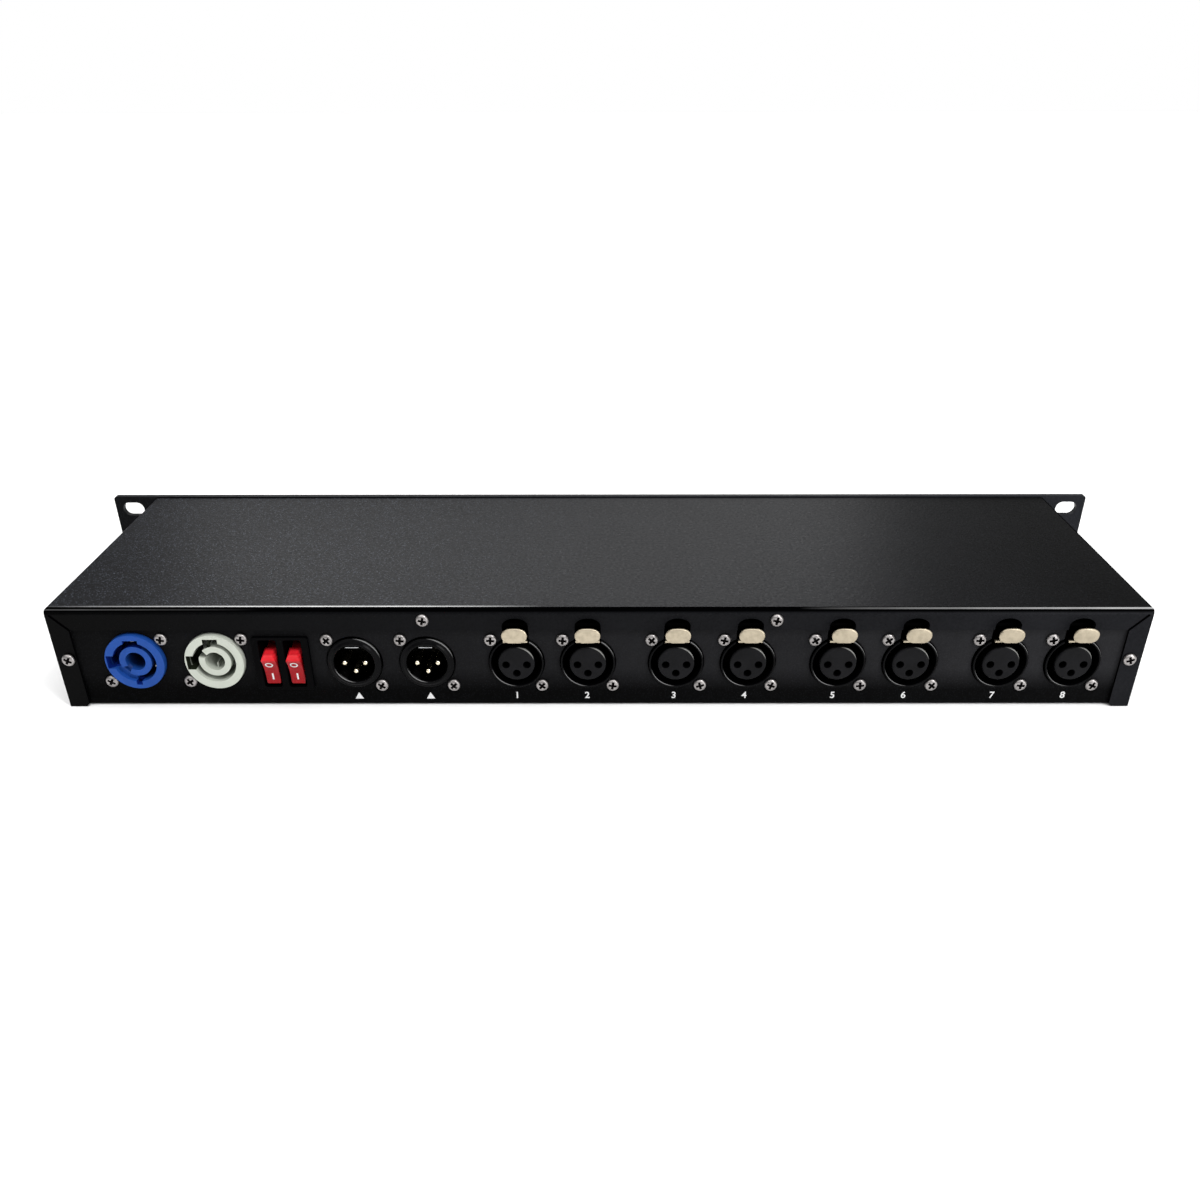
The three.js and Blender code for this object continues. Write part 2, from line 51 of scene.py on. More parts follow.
def mm(p):
    return Vector((p[0] / 1000, (p[1] + SHIFT_Y) / 1000, p[2] / 1000))


# ------------------------------------------------------------------ camera
cam_data = bpy.data.cameras.new("camera")
cam_data.sensor_width = 36
cam_data.lens = 1098.6 * 36 / 1200
cam_data.shift_y = 160 / 1200
cam_data.clip_start, cam_data.clip_end = 0.01, 20
cam = bpy.data.objects.new("camera", cam_data)
scene.collection.objects.link(cam)
yaw, pitch, roll = (math.radians(a) for a in (0.238, 32.479, -0.136))
fwd = Vector((-math.sin(yaw) * math.cos(pitch), math.cos(yaw) * math.cos(pitch), -math.sin(pitch)))
right = Vector((math.cos(yaw), math.sin(yaw), 0))
up = right.cross(fwd)
right, up = right * math.cos(roll) + up * math.sin(roll), up * math.cos(roll) - right * math.sin(roll)
m = Matrix((right, up, -fwd)).transposed().to_4x4()
m.translation = mm((2.289, -398.036, 226.735))
cam.matrix_world = m
scene.camera = cam


# ------------------------------------------------------------------ materials
class Nodes:
    """Small helper round a material's node tree."""

    def __init__(self, name):
        self.mat = bpy.data.materials.new(name)
        self.mat.use_nodes = True
        self.tree = self.mat.node_tree
        self.tree.nodes.clear()
        self.out = self.add("ShaderNodeOutputMaterial")
        self.bsdf = self.add("ShaderNodeBsdfPrincipled")
        self.link(self.bsdf.outputs[0], self.out.inputs[0])
        self.coord = self.add("ShaderNodeTexCoord").outputs["Object"]

    def add(self, kind, **props):
        n = self.tree.nodes.new(kind)
        for k, v in props.items():
            setattr(n, k, v)
        return n

    def link(self, a, b):
        self.tree.links.new(a, b)

    def set(self, **values):
        for k, v in values.items():
            self.bsdf.inputs[k.replace("_", " ")].default_value = v
        return self

    def noise(self, scale, detail=3, rough=0.5, stretch=None):
        n = self.add("ShaderNodeTexNoise")
        n.inputs["Scale"].default_value = scale
        n.inputs["Detail"].default_value = detail
        n.inputs["Roughness"].default_value = rough
        if stretch:
            mp = self.add("ShaderNodeMapping")
            mp.inputs["Scale"].default_value = stretch
            self.link(self.coord, mp.inputs["Vector"])
            self.link(mp.outputs[0], n.inputs["Vector"])
        else:
            self.link(self.coord, n.inputs["Vector"])
        return n.outputs["Fac"]

    def voronoi(self, scale, feature="F1"):
        n = self.add("ShaderNodeTexVoronoi", feature=feature)
        n.inputs["Scale"].default_value = scale
        self.link(self.coord, n.inputs["Vector"])
        return n.outputs["Distance"]

    def ramp(self, fac, stops):
        n = self.add("ShaderNodeValToRGB")
        e = n.color_ramp.elements
        while len(e) < len(stops):
            e.new(0.5)
        for el, (pos, col) in zip(e, stops):
            el.position = pos
            el.color = (*col, 1) if len(col) == 3 else col
        self.link(fac, n.inputs[0])
        return n.outputs[0]

    def range(self, fac, a, b, lo, hi):
        n = self.add("ShaderNodeMapRange")
        for i, v in enumerate((a, b, lo, hi)):
            n.inputs[i + 1].default_value = v
        self.link(fac, n.inputs[0])
        return n.outputs[0]

    def mix(self, fac, a, b, blend="MIX"):
        n = self.add("ShaderNodeMix", data_type="RGBA", blend_type=blend)
        if isinstance(fac, float):
            n.inputs[0].default_value = fac
        else:
            self.link(fac, n.inputs[0])
        for sock, v in ((n.inputs[6], a), (n.inputs[7], b)):
            if isinstance(v, tuple):
                sock.default_value = (*v, 1)
            else:
                self.link(v, sock)
        return n.outputs[2]

    def bump(self, height, distance, strength=1.0, normal=None):
        n = self.add("ShaderNodeBump")
        n.inputs["Distance"].default_value = distance
        n.inputs["Strength"].default_value = strength
        self.link(height, n.inputs["Height"])
        if normal is not None:
            self.link(normal, n.inputs["Normal"])
        return n.outputs[0]

    def along(self, axis, a, b, lo, hi):
        """lo..hi while the object-space position (millimetres, y from the cover's edge) goes from a to b."""
        n = self.add("ShaderNodeSeparateXYZ")
        self.link(self.coord, n.inputs[0])
        off = SHIFT_Y if axis == 1 else 0
        return self.range(n.outputs[axis], (a + off) / 1000, (b + off) / 1000, lo, hi)

    def turn(self, q0, q1, soft, z0=42.9, tail=None):
        """1 on a strip of the cover's rear bend above z0: q counts millimetres down the bend, -2.6 where the top plate ends."""
        tail = tail or soft
        n = self.add("ShaderNodeSeparateXYZ")
        self.link(self.coord, n.inputs[0])
        s = self.add("ShaderNodeMath", operation="ADD")
        self.link(n.outputs[1], s.inputs[0])
        self.link(n.outputs[2], s.inputs[1])

        def at(q):
            return (BOX_TOP + SHIFT_Y - q) / 1000

        strip = self.times(self.range(s.outputs[0], at(q1 + tail), at(q1), 0, 1), self.range(s.outputs[0], at(q0), at(q0 - soft), 1, 0))
        return self.times(strip, self.along(2, z0, z0 + 0.1, 0, 1))

    def times(self, a, b):
        n = self.add("ShaderNodeMath", operation="MULTIPLY")
        self.link(a, n.inputs[0])
        self.link(b, n.inputs[1])
        return n.outputs[0]

    def painted_recess_shade(self, sock, y0, y1, k):
        """Painted shade: colour that falls off to k times its value with depth in a recess."""
        return self.mix(1.0, sock, self.along(1, y0, y1, 1, k), "MULTIPLY")

    def painted_rim_highlight(self, sock, bright, a=0.84, b=0.95):
        """Colour with a painted highlight on the narrow rims that are turned up and to the right."""
        n = self.add("ShaderNodeVectorMath", operation="DOT_PRODUCT")
        self.link(self.add("ShaderNodeNewGeometry").outputs["Normal"], n.inputs[0])
        n.inputs[1].default_value = (0.55, -0.5, 0.67)
        return self.mix(self.range(n.outputs["Value"], a, b, 0, 1), sock, bright)

    def color(self, sock):
        self.link(sock, self.bsdf.inputs["Base Color"])
        return self

    def rough(self, sock):
        self.link(sock, self.bsdf.inputs["Roughness"])
        return self

    def normal(self, sock):
        self.link(sock, self.bsdf.inputs["Normal"])
        return self


def powder(name, dark, light, rough, grain, speck, bump, spec=0.5, top=None, side=(1, 1), low=None):
    """Powder coat: fine orange peel, mottled colour and small pale specks, painted as glints of the peel.

    side: the share of the colour at the left and at the right end, painted light and shade; low: (z0, z1, k), share k
    of the colour below z0, painted shade;
    top: the height in mm above which the cover's plate starts, with the painted glint specks to the left, painted shade
    towards the plate's right end, the bend painted dark and painted highlight lines along it."""
    n = Nodes(name)
    fine = n.noise(grain, 4, 0.6)
    wide = n.noise(38, 2, 0.5)
    base = n.mix(n.range(fine, 0.3, 0.7, 0, 1), dark, light)
    base = n.mix(n.range(wide, 0.35, 0.7, 0, 0.3), base, tuple(c * 1.5 for c in light))
    # pale specks painted as glints of the orange peel
    dots = n.range(n.voronoi(grain * 1.1), 0.36, 0.1, 0, speck)
    height = n.noise(grain * 0.7, 2)
    # painted light and shade: the colour darker or lighter from the left end to the right end
    col = n.mix(1.0, base, n.along(0, -210, 180, *side), "MULTIPLY")
    # painted shade: darker towards the bottom
    if low:
        col = n.mix(1.0, col, n.along(2, *low[:2], low[2], 1), "MULTIPLY")
    if top:
        lift = n.along(2, top - 0.2, top, 0, 1)
        # painted shade: the plate darker towards its right end
        plate = n.mix(1.0, base, n.along(0, 90, 205, 1, 0.15), "MULTIPLY")
        col = n.mix(lift, col, plate)
        # the painted glint specks only on the plate, mostly to the left, in patches
        dots = n.times(dots, n.times(n.along(2, top - 0.2, top, 0.0, 1), n.along(0, -100, 10, 1, 0.1)))
        dots = n.times(dots, n.range(n.noise(grain * 0.45, 2), 0.35, 0.65, 0.25, 1))
        height = n.times(height, n.along(2, top - 0.2, top, 0.12, 1))
    col = n.mix(dots, col, tuple(c * k for c, k in zip(light, (15, 16.5, 17.5))))
    if top:
        # painted shade: the rear bend painted near black
        bend = n.turn(-2.6, 0.4, 0.15, 41.5, 1.2)
        col = n.mix(bend, col, tuple(c * 0.12 for c in dark))
        # painted highlight lines along the rear bend, broken up by noise
        highlight_breakup = n.range(n.noise(240, 3, 0.6, (0.3, 1, 1)), 0.25, 0.6, 0.75, 1)
        left = n.times(n.turn(-3.7, -2.8, 0.15), n.times(n.along(0, -216, -140, 0.06, 1), n.along(0, -75, -22, 1, 0)))
        under = n.times(n.turn(-0.95, -0.35, 0.15), n.along(0, -215, -135, 0.09, 0))
        right = n.times(n.turn(-1.9, -0.95, 0.3), n.along(0, 80, 205, 0, 0.5))
        for strip in (left, under, right):
            col = n.mix(n.times(strip, highlight_breakup), col, (0.6, 0.6, 0.6))
    n.color(col)
    n.rough(n.range(n.noise(grain * 0.8, 3), 0.3, 0.7, rough - 0.08, rough + 0.08))
    n.normal(n.bump(height, bump, 0.6))
    if top:
        dull = n.times(n.along(1, 0, 132, 0, 1), n.along(0, -60, 90, 0.5, 0.27))
        brink = n.times(n.along(0, 218.8, 219, 0, 1), n.along(2, 42.8, 43, 0, 1))
        sheen = n.times(n.range(bend, 0, 1, 1, 0), n.range(dull, 0, 1, spec, 0))
        corner = n.times(n.along(0, 110, 200, 0, 0.3), n.along(1, 0, 132, 1, 0))
        sheen = n.times(sheen, n.range(corner, 0, 1, 1, 0))
        n.link(n.times(sheen, n.range(brink, 0, 1, 1, 0)), n.bsdf.inputs["Specular IOR Level"])
    else:
        n.set(Specular_IOR_Level=spec)
    return n.mat


def moulded(name, color, rough, vary=0.12, bump=0.00002, coat=0.0, spec=0.5, grain=900, deep=None, rim=None, half=None):
    """Moulded plastic: slight colour drift, a fine spark-eroded grain and, where asked, a painted highlight on the
    rims, painted shade on one side of a slot and painted shade with depth in a recess.
    """
    n = Nodes(name)
    drift = n.noise(120, 3)
    col = n.mix(n.range(drift, 0.35, 0.65, 0, 1), tuple(c * (1 - vary) for c in color),
                tuple(min(1, c * (1 + vary)) for c in color))
    if rim:
        col = n.painted_rim_highlight(col, rim)
    # painted shade on one side of a slot
    if half:
        inside = n.times(n.along(0, half[0], half[1], 0, 1), n.along(1, 0.3, 1.5, 0, 1))
        col = n.mix(1.0, col, n.range(inside, 0, 1, 1, half[2]), "MULTIPLY")
    n.color(n.painted_recess_shade(col, *deep) if deep else col)
    n.rough(n.range(n.noise(400, 3), 0.3, 0.7, rough - 0.06, rough + 0.07))
    n.normal(n.bump(n.noise(grain, 2), bump, 0.5))
    n.set(Coat_Weight=coat, Specular_IOR_Level=spec)
    return n.mat


def metal(name, color, rough, bump=0.00003, scale=700, stretch=None, vary=0.15, deep=None, side=None):
    """Plated metal: cloudy roughness, fine marks and darker stains, with optional painted shade with depth in a recess
    and towards the right end.
    """
    n = Nodes(name)
    cloud = n.noise(scale * 0.5, 4)
    col = n.mix(n.range(cloud, 0.4, 0.75, 0, 1), color, tuple(c * (1 - vary * 2) for c in color))
    # painted shade: darker towards the right end
    if side:
        col = n.mix(1.0, col, n.along(0, -40, 180, *side), "MULTIPLY")
    n.color(n.painted_recess_shade(col, *deep) if deep else col)
    n.rough(n.range(n.noise(scale, 3, 0.6, stretch), 0.3, 0.7, rough - 0.08, rough + 0.12))
    n.normal(n.bump(n.noise(scale * 1.4, 2, 0.5, stretch), bump, 0.5))
    n.set(Metallic=1.0)
    return n.mat


MAT = {
    # the coats carry painted light and shade: darker or lighter from left to right, the base also darker towards the
    # bottom
    "cover": powder("cover_coat", (0.0042, 0.0043, 0.0052), (0.0075, 0.0077, 0.009), 0.34, 1000, 0.85, 0.00011, 0.0445,
                    top=43.75, side=(0.04, 1.25)),
    "base": powder("base_coat", (0.006, 0.006, 0.0066), (0.0092, 0.0092, 0.01), 0.46, 1300, 0.04, 0.00004, 0.022,
                   side=(0.3, 1.85), low=(7, 17, 0.1)),
    "panel": powder("panel_coat", (0.005, 0.0052, 0.0064), (0.008, 0.0084, 0.01), 0.42, 1200, 0.08, 0.00005, 0.05, side=(0.35, 1.8)),
    # near-black painted shade for cut edges, hole walls and the insides of the sockets
    "edge": moulded("painted_shade_black", (0.0008, 0.0008, 0.001), 0.6, 0.2, spec=0.01),
    # the blue and grey mouldings are painted darker with depth in their recesses, the grey also on its slot's left
    # side; their shaded copies paint shade into keyways and slots
    "blue": moulded("blue_moulding", (0.0095, 0.054, 0.255), 0.36, 0.08, deep=(0.3, 5.0, 0.3), spec=0.15),
    "blue_deep": moulded("blue_moulding_shaded", (0.003, 0.016, 0.15), 0.5, 0.1, spec=0.02),
    "grey": moulded("grey_moulding", (0.43, 0.455, 0.4), 0.4, 0.03, deep=(0.0, 3.5, 0.8), spec=0.25, half=(-159.5, -161.5, 0.6)),
    "grey_deep": moulded("grey_moulding_shaded", (0.012, 0.015, 0.009), 0.5, 0.1, spec=0.03),
    "black": moulded("black_moulding", (0.0008, 0.0008, 0.001), 0.34, 0.2, spec=0.025),
    # shell and insert: painted shade with depth and a painted highlight on the rims
    "shell": moulded("black_coated_casting", (0.0016, 0.0016, 0.0019), 0.25, 0.2, 0.00003, spec=0.055, deep=(0.3, 1.2, 0.04), rim=(0.17, 0.17, 0.17)),
    "insert": moulded("insert_moulding", (0.0052, 0.0052, 0.006), 0.38, 0.2, 0.00003, spec=0.07, deep=(0.35, 1.2, 0.03), rim=(0.22, 0.22, 0.21)),
    "screw": metal("screw_zinc", (0.335, 0.318, 0.312), 0.34),
    # painted shade in the screws' cross recesses
    "recess": moulded("recess_painted_shade", (0.004, 0.0033, 0.0033), 0.7, 0.2, spec=0.03),
    "zinc": metal("zinc_sheet", (0.56, 0.57, 0.58), 0.4, stretch=(1, 8, 8)),
    # latch: painted shade behind the thumb pad and towards the right end
    "latch": metal("latch_nickel", (0.5, 0.435, 0.325), 0.36, 0.00006, 900, vary=0.1, deep=(-1.7, -0.5, 0.02), side=(0.97, 0.82)),
    "gold": metal("contact_plating", (0.95, 0.86, 0.66), 0.16, 0.00001),
    "supply": metal("supply_metal", (0.5, 0.51, 0.53), 0.45),
}

# glossy red rocker plastic that glows a little, with painted shade on its lower half
n = Nodes("red_moulding")
ribs = n.add("ShaderNodeTexWave", wave_type="BANDS", bands_direction="Z", wave_profile="SIN")
ribs.inputs["Scale"].default_value = 300
n.link(n.coord, ribs.inputs["Vector"])
ribs = n.times(ribs.outputs["Fac"], n.along(2, 23.2, 23.8, 0, 1))
col = n.mix(n.range(n.noise(160, 3), 0.35, 0.65, 0, 1), (0.52, 0.012, 0.018), (0.6, 0.017, 0.026))
# painted shade: the lower half darker
col = n.mix(1.0, col, n.along(2, 20.5, 23.5, 0.5, 1), "MULTIPLY")
n.color(n.mix(n.range(ribs, 0.3, 0.9, 0, 0.45), col, (0.3, 0.004, 0.008)))
n.rough(n.range(n.noise(300, 2), 0.3, 0.7, 0.18, 0.28))
n.normal(n.bump(ribs, 0.00012, 0.7))
n.set(Subsurface_Weight=0.15, Subsurface_Radius=(0.004, 0.0008, 0.0008), Subsurface_Scale=1.0, Specular_IOR_Level=0.12)
MAT["red"] = n.mat

# screen-printed white ink
n = Nodes("white_ink")
n.color(n.mix(n.range(n.noise(1500, 3), 0.4, 0.7, 0, 1), (0.64, 0.64, 0.64), (0.52, 0.52, 0.52)))
n.rough(n.range(n.noise(900, 2), 0.3, 0.7, 0.45, 0.6))
MAT["ink"] = n.mat

# circuit board
n = Nodes("board_mask")
tracks = n.range(n.noise(260, 1, 0.2, (1, 0.25, 1)), 0.47, 0.53, 0, 1)
n.color(n.mix(tracks, (0.012, 0.09, 0.035), (0.03, 0.17, 0.06)))
n.rough(n.range(n.noise(200, 2), 0.3, 0.7, 0.3, 0.5))
MAT["board"] = n.mat

# clear light pipe
n = Nodes("light_pipe_clear")
n.color(n.mix(n.range(n.noise(300, 2), 0.3, 0.7, 0, 1), (0.82, 0.88, 0.8), (0.9, 0.93, 0.88)))
n.rough(n.range(n.noise(500, 2), 0.3, 0.7, 0.12, 0.22))
n.set(Transmission_Weight=0.35, IOR=1.49)
MAT["pipe"] = n.mat


# ------------------------------------------------------------------ mesh helpers
def temp(bm):
    bmesh.ops.remove_doubles(bm, verts=bm.verts, dist=1e-4)
    bmesh.ops.recalc_face_normals(bm, faces=bm.faces)
    me = bpy.data.meshes.new("t")
    bm.to_mesh(me)
    bm.free()
    o = bpy.data.objects.new("t", me)
    scene.collection.objects.link(o)
    return o


def prism(points, a0, a1, axis):
    """Outline extruded along an axis. Y takes (x, z), X takes (y, z), Z takes (x, y). Millimetres."""
    bm = bmesh.new()

    def v(p, a):
        return {"Y": (p[0], a, p[1]), "X": (a, p[0], p[1]), "Z": (p[0], p[1], a)}[axis]

    lo = [bm.verts.new(v(p, a0)) for p in points]
    hi = [bm.verts.new(v(p, a1)) for p in points]
    bm.faces.new(lo)
    bm.faces.new(hi)
    for i in range(len(points)):
        j = (i + 1) % len(points)
        bm.faces.new((lo[i], lo[j], hi[j], hi[i]))
    return temp(bm)


def box(x0, x1, y0, y1, z0, z1):
    return prism([(x0, z0), (x1, z0), (x1, z1), (x0, z1)], y0, y1, "Y")


def ring_points(cx, cz, r, n=48, a0=0.0):
    return [(cx + r * math.cos(a0 + 2 * math.pi * i / n), cz + r * math.sin(a0 + 2 * math.pi * i / n)) for i in range(n)]


def cyl(x, z, r, y0, y1, n=48):
    return prism(ring_points(x, z, r, n), y0, y1, "Y")


def cyl_x(y, z, r, x0, x1, n=20):
    return prism(ring_points(y, z, r, n), x0, x1, "X")


def lathe(profile, x, z, n=64):
    """Solid of revolution about an axis along Y through (x, z); profile is a closed (r, y) outline, on the axis where r is 0."""
    bm = bmesh.new()
    rows = []
    for r, y in profile:
        if r < 1e-6:
            rows.append([bm.verts.new((x, y, z))])
        else:
            rows.append([bm.verts.new((x + r * math.cos(2 * math.pi * i / n), y, z + r * math.sin(2 * math.pi * i / n)))
                         for i in range(n)])
    k = len(rows)
    for i in range(k):
        a, b = rows[i], rows[(i + 1) % k]
        if len(a) == 1 and len(b) == 1:
            continue
        for j in range(n):
            q = (j + 1) % n
            if len(a) == 1:
                bm.faces.new((a[0], b[j], b[q]))
            elif len(b) == 1:
                bm.faces.new((a[j], a[q], b[0]))
            else:
                bm.faces.new((a[j], a[q], b[q], b[j]))
    return temp(bm)


def bake(o, *mods):
    """Applies modifiers given as (type, {settings}) and keeps the result as o's mesh."""
    for kind, settings in mods:
        md = o.modifiers.new(kind, kind)
        for k, v in settings.items():
            setattr(md, k, v)
    dg = bpy.context.evaluated_depsgraph_get()
    me = bpy.data.meshes.new_from_object(o.evaluated_get(dg))
    o.modifiers.clear()
    old = o.data
    o.data = me
    bpy.data.meshes.remove(old)
    return o


def drop(objs):
    for o in objs:
        me = o.data
        bpy.data.objects.remove(o)
        bpy.data.meshes.remove(me)


def merge(objs):
    """Joins meshes without a boolean."""
    bm = bmesh.new()
    for o in objs:
        bm.from_mesh(o.data)
    drop(objs)
    me = bpy.data.meshes.new("t")
    bm.to_mesh(me)
    bm.free()
    r = bpy.data.objects.new("t", me)
    scene.collection.objects.link(r)
    return r


def boolean(o, others, operation):
    col = bpy.data.collections.new("cutters")
    scene.collection.children.link(col)
    for c in others:
        scene.collection.objects.unlink(c)
        col.objects.link(c)
    bake(o, ("BOOLEAN", {"operation": operation, "operand_type": "COLLECTION", "collection": col, "solver": "EXACT"}))
    drop(others)
    bpy.data.collections.remove(col)
    return o


def cut(o, *cutters):
    flat = [c for group in cutters for c in (group if isinstance(group, (list, tuple)) else [group])]
    return boolean(o, flat, "DIFFERENCE")


def union(o, *others):
    flat = [c for group in others for c in (group if isinstance(group, (list, tuple)) else [group])]
    return boolean(o, flat, "UNION")


def bevel(o, width, segments=2, angle=32):
    bm = bmesh.new()
    bm.from_mesh(o.data)
    bmesh.ops.remove_doubles(bm, verts=bm.verts, dist=1e-3)
    bmesh.ops.dissolve_degenerate(bm, edges=bm.edges, dist=1e-3)
    bm.to_mesh(o.data)
    bm.free()
    return bake(o, ("BEVEL", {"width": width, "segments": segments, "limit_method": "ANGLE",
                              "angle_limit": math.radians(angle), "use_clamp_overlap": True}))


def tidy(o):
    """Splits many-sided faces and clears the slivers without area."""
    bm = bmesh.new()
    bm.from_mesh(o.data)
    bmesh.ops.remove_doubles(bm, verts=bm.verts, dist=0.004)
    bmesh.ops.triangulate(bm, faces=[f for f in bm.faces if len(f.verts) > 4])
    bmesh.ops.dissolve_degenerate(bm, dist=0.0005, edges=bm.edges)
    seen, strays = set(), []
    for f in bm.faces:
        stack, island = [f], []
        while stack:
            g = stack.pop()
            if g not in seen:
                seen.add(g)
                island.append(g)
                stack += [h for e in g.edges if len(e.link_faces) == 2 for h in e.link_faces if h not in seen]
        if 0 < len(island) < 4:
            strays += island
    bmesh.ops.delete(bm, geom=strays, context="FACES")
    bm.to_mesh(o.data)
    bm.free()


def finish(o, name, mat, body="chassis", replaces=(), smooth=35, second=None, clean=False):
    """Scales to metres, sets smooth shading with sharp edges, names, paints and attaches the piece.

    second: (material, test), the material of the faces whose centre and normal in millimetres pass the test."""
    if clean:
        tidy(o)
    me = o.data
    odd = [f.index for f in me.polygons if second and second[1](f.center, f.normal)]
    me.transform(Matrix.Translation((0, SHIFT_Y / 1000, 0)) @ Matrix.Scale(0.001, 4))
    bm = bmesh.new()
    bm.from_mesh(me)
    bmesh.ops.recalc_face_normals(bm, faces=bm.faces)
    for f in bm.faces:
        f.smooth = True
    for e in bm.edges:
        e.smooth = len(e.link_faces) == 2 and e.calc_face_angle(0) < math.radians(smooth)
    bm.to_mesh(me)
    bm.free()
    me.materials.clear()
    me.materials.append(MAT[mat])
    for f in me.polygons:
        f.material_index = 0
    if second:
        me.materials.append(MAT[second[0]])
        for i in odd:
            me.polygons[i].material_index = 1
    # large flat faces keep their own normal beside small bevels
    bake(o, ("WEIGHTED_NORMAL", {"keep_sharp": True, "weight": 80}))
    o.name = o.data.name = name
    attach(o, body)
    if replaces:
        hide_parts(*([replaces] if isinstance(replaces, str) else replaces))
    return o


def copy_at(master, dx, dz=0.0):
    o = master.copy()
    o.data = master.data.copy()
    o.data.transform(Matrix.Translation((dx, 0, dz)))
    scene.collection.objects.link(o)
    return o


def arc(cx, cy, r, a0, a1, n=6):
    return [(cx + r * math.cos(math.radians(a0 + (a1 - a0) * i / n)), cy + r * math.sin(math.radians(a0 + (a1 - a0) * i / n)))
            for i in range(n + 1)]


def rounded(hx, hz, r, n=6, cx=0.0, cz=0.0):
    pts = []
    for x, z, a in ((hx - r, hz - r, 0), (-hx + r, hz - r, 90), (-hx + r, -hz + r, 180), (hx - r, -hz + r, 270)):
        pts += arc(cx + x, cz + z, r, a, a + 90, n)
    return pts


# ------------------------------------------------------------------ layout
SHEET, GAP = 1.2, 0.3
BOX_W, BOX_H, PANEL_Y = 440.0, 43.8, 132.0
EDGE_TOP, EDGE_SIDE, EDGE_CHAMFER = 9.0, 8.0, 1.2
REAR_BEND_R, SIDE_BEND_R, BASE_BEND_R = 2.6, 0.8, 1.5
SOCKET_Z = 19.83
INPUT_X = (-99.3, -69.65)
OUTPUT_X = (-33.25, -4.2, 31.7, 60.93, 97.55, 126.93, 163.55, 192.9)
CONTACTS = ((-4.25, -0.4), (4.25, -0.4), (0, -4.2))
MAINS_X, MAINS_Z = (-188.25, -155.85), 20.94
SWITCH_X, SWITCH_Z = -128.35, 20.0
LED_X = (-178, -130, -112, -64, -42, -20, 2, 24, 46, 68, 90)
SIDE_SCREW = (215.0, 21.9)
EDGE_SCREW = ((-69.85, 39.4), (70.95, 39.4))


def hump(xc, low, half=5.2, top=39.9, rise=3.3):
    pts = [(xc - half, low), (xc + half, low)]
    for i in range(17):
        a = math.pi * i / 16
        pts.append((xc + half * math.cos(a), top - rise + rise * math.sin(a)))
    return pts


# ------------------------------------------------------------------ case
def bent_block(w, y0, y1, z0, z1, rr, rs, n=8):
    side = prism([(y0, z0), (y1, z0), (y1, z1)] + arc(y0 + rr, z1 - rr, rr, 90, 180, n), -w, w, "X")
    ends = arc(w - rs, z1 - rs, rs, 0, 90, n) + arc(-w + rs, z1 - rs, rs, 90, 180, n) if rs else [(w, z1), (-w, z1)]
    rear = prism([(-w, z0), (w, z0)] + ends, y0 - 1, y1 + 1, "Y")
    return boolean(side, [rear], "INTERSECT")


w, y_front = BOX_W / 2, PANEL_Y - GAP
xe, ze, c = w - EDGE_SIDE, BOX_H - EDGE_TOP, EDGE_CHAMFER
cover = bent_block(w, 0, y_front, 0, BOX_H, REAR_BEND_R, SIDE_BEND_R)
cut(cover, bent_block(w - SHEET, SHEET, y_front + 2, -2, BOX_H - SHEET, REAR_BEND_R - SHEET, 0))
cutters = [prism([(-xe - c - 1, -1), (xe + c + 1, -1), (xe, c), (xe, ze), (-xe, ze), (-xe, c)], -1, SHEET + 0.5, "Y")]
for sx in (-1, 1):
    xi, zi = w - EDGE_SIDE - 1, BOX_H - EDGE_TOP - 0.7
    xo = w - SHEET - 0.5
    zo, t = zi + xo - xi, 0.5 / math.sqrt(2)
    cutters.append(prism([(sx * (xi - t), zi + t), (sx * (xi + t), zi - t), (sx * (xo + t), zo - t), (sx * (xo - t), zo + t)],
                         -1, SHEET + 0.01, "Y"))
    cutters.append(cyl(sx * SIDE_SCREW[0], SIDE_SCREW[1], 1.9, -1, 3, 24))
for x in OUTPUT_X:
    cutters.append(prism(hump(x, BOX_H - EDGE_TOP - 1), -1, SHEET + 0.01, "Y"))
for x, z in EDGE_SCREW:
    cutters.append(cyl(x, z, 1.9, -1, 3, 24))
cut(cover, cutters)
bevel(cover, 0.12)
# the flange's cut edges get the near-black painted shade
finish(cover, "cover", "cover", replaces="top_cover",
       second=("edge", lambda p, n: p.y < SHEET + 0.2 and abs(n.y) < 0.5 and p.z < 42 and abs(p.x) < w - 1.5))

y0, y1, yf1 = SHEET + GAP, 2 * SHEET + GAP, PANEL_Y - GAP
yf0, r, ri, top, w = yf1 - SHEET, BASE_BEND_R, BASE_BEND_R - SHEET, BOX_H - SHEET - 0.7, BOX_W / 2 - 1.5
base = prism(arc(y0 + r, r, r, 180, 270, 8) + arc(yf1 - r, r, r, 270, 360, 8) + [(yf1, top), (yf0, top)]
             + arc(yf0 - ri, SHEET + ri, ri, 360, 270, 4) + arc(y1 + ri, SHEET + ri, ri, 270, 180, 4)
             + [(y1, top), (y0, top)], -w, w, "X")
cutters = []
for x in MAINS_X:
    cutters.append(cyl(x, MAINS_Z, 12.2, 0, 4, 64))
    cutters += [cyl(x + k * 12, MAINS_Z + k * 9.5, 1.9, 0, 4, 20) for k in (-1, 1)]
cutters.append(box(SWITCH_X - 10.3, SWITCH_X + 10.3, 0, 4, SWITCH_Z - 11.5, SWITCH_Z + 11.5))
for x in INPUT_X + OUTPUT_X:
    cutters += [cyl(x + k * 10.15, SOCKET_Z - k * 10.27, 1.9, 0, 4, 20) for k in (-1, 1)]
for x in INPUT_X:
    cutters.append(cyl(x, SOCKET_Z, 11.5, 0, 4, 64))
for x in OUTPUT_X:
    cutters.append(union(cyl(x, SOCKET_Z, 11.5, 0, 4, 64), prism(hump(x, SOCKET_Z + 8), 0.0, 4.0, "Y")))
cutters += [cyl(x, z, 1.9, 0, 4, 20) for x, z in EDGE_SCREW]
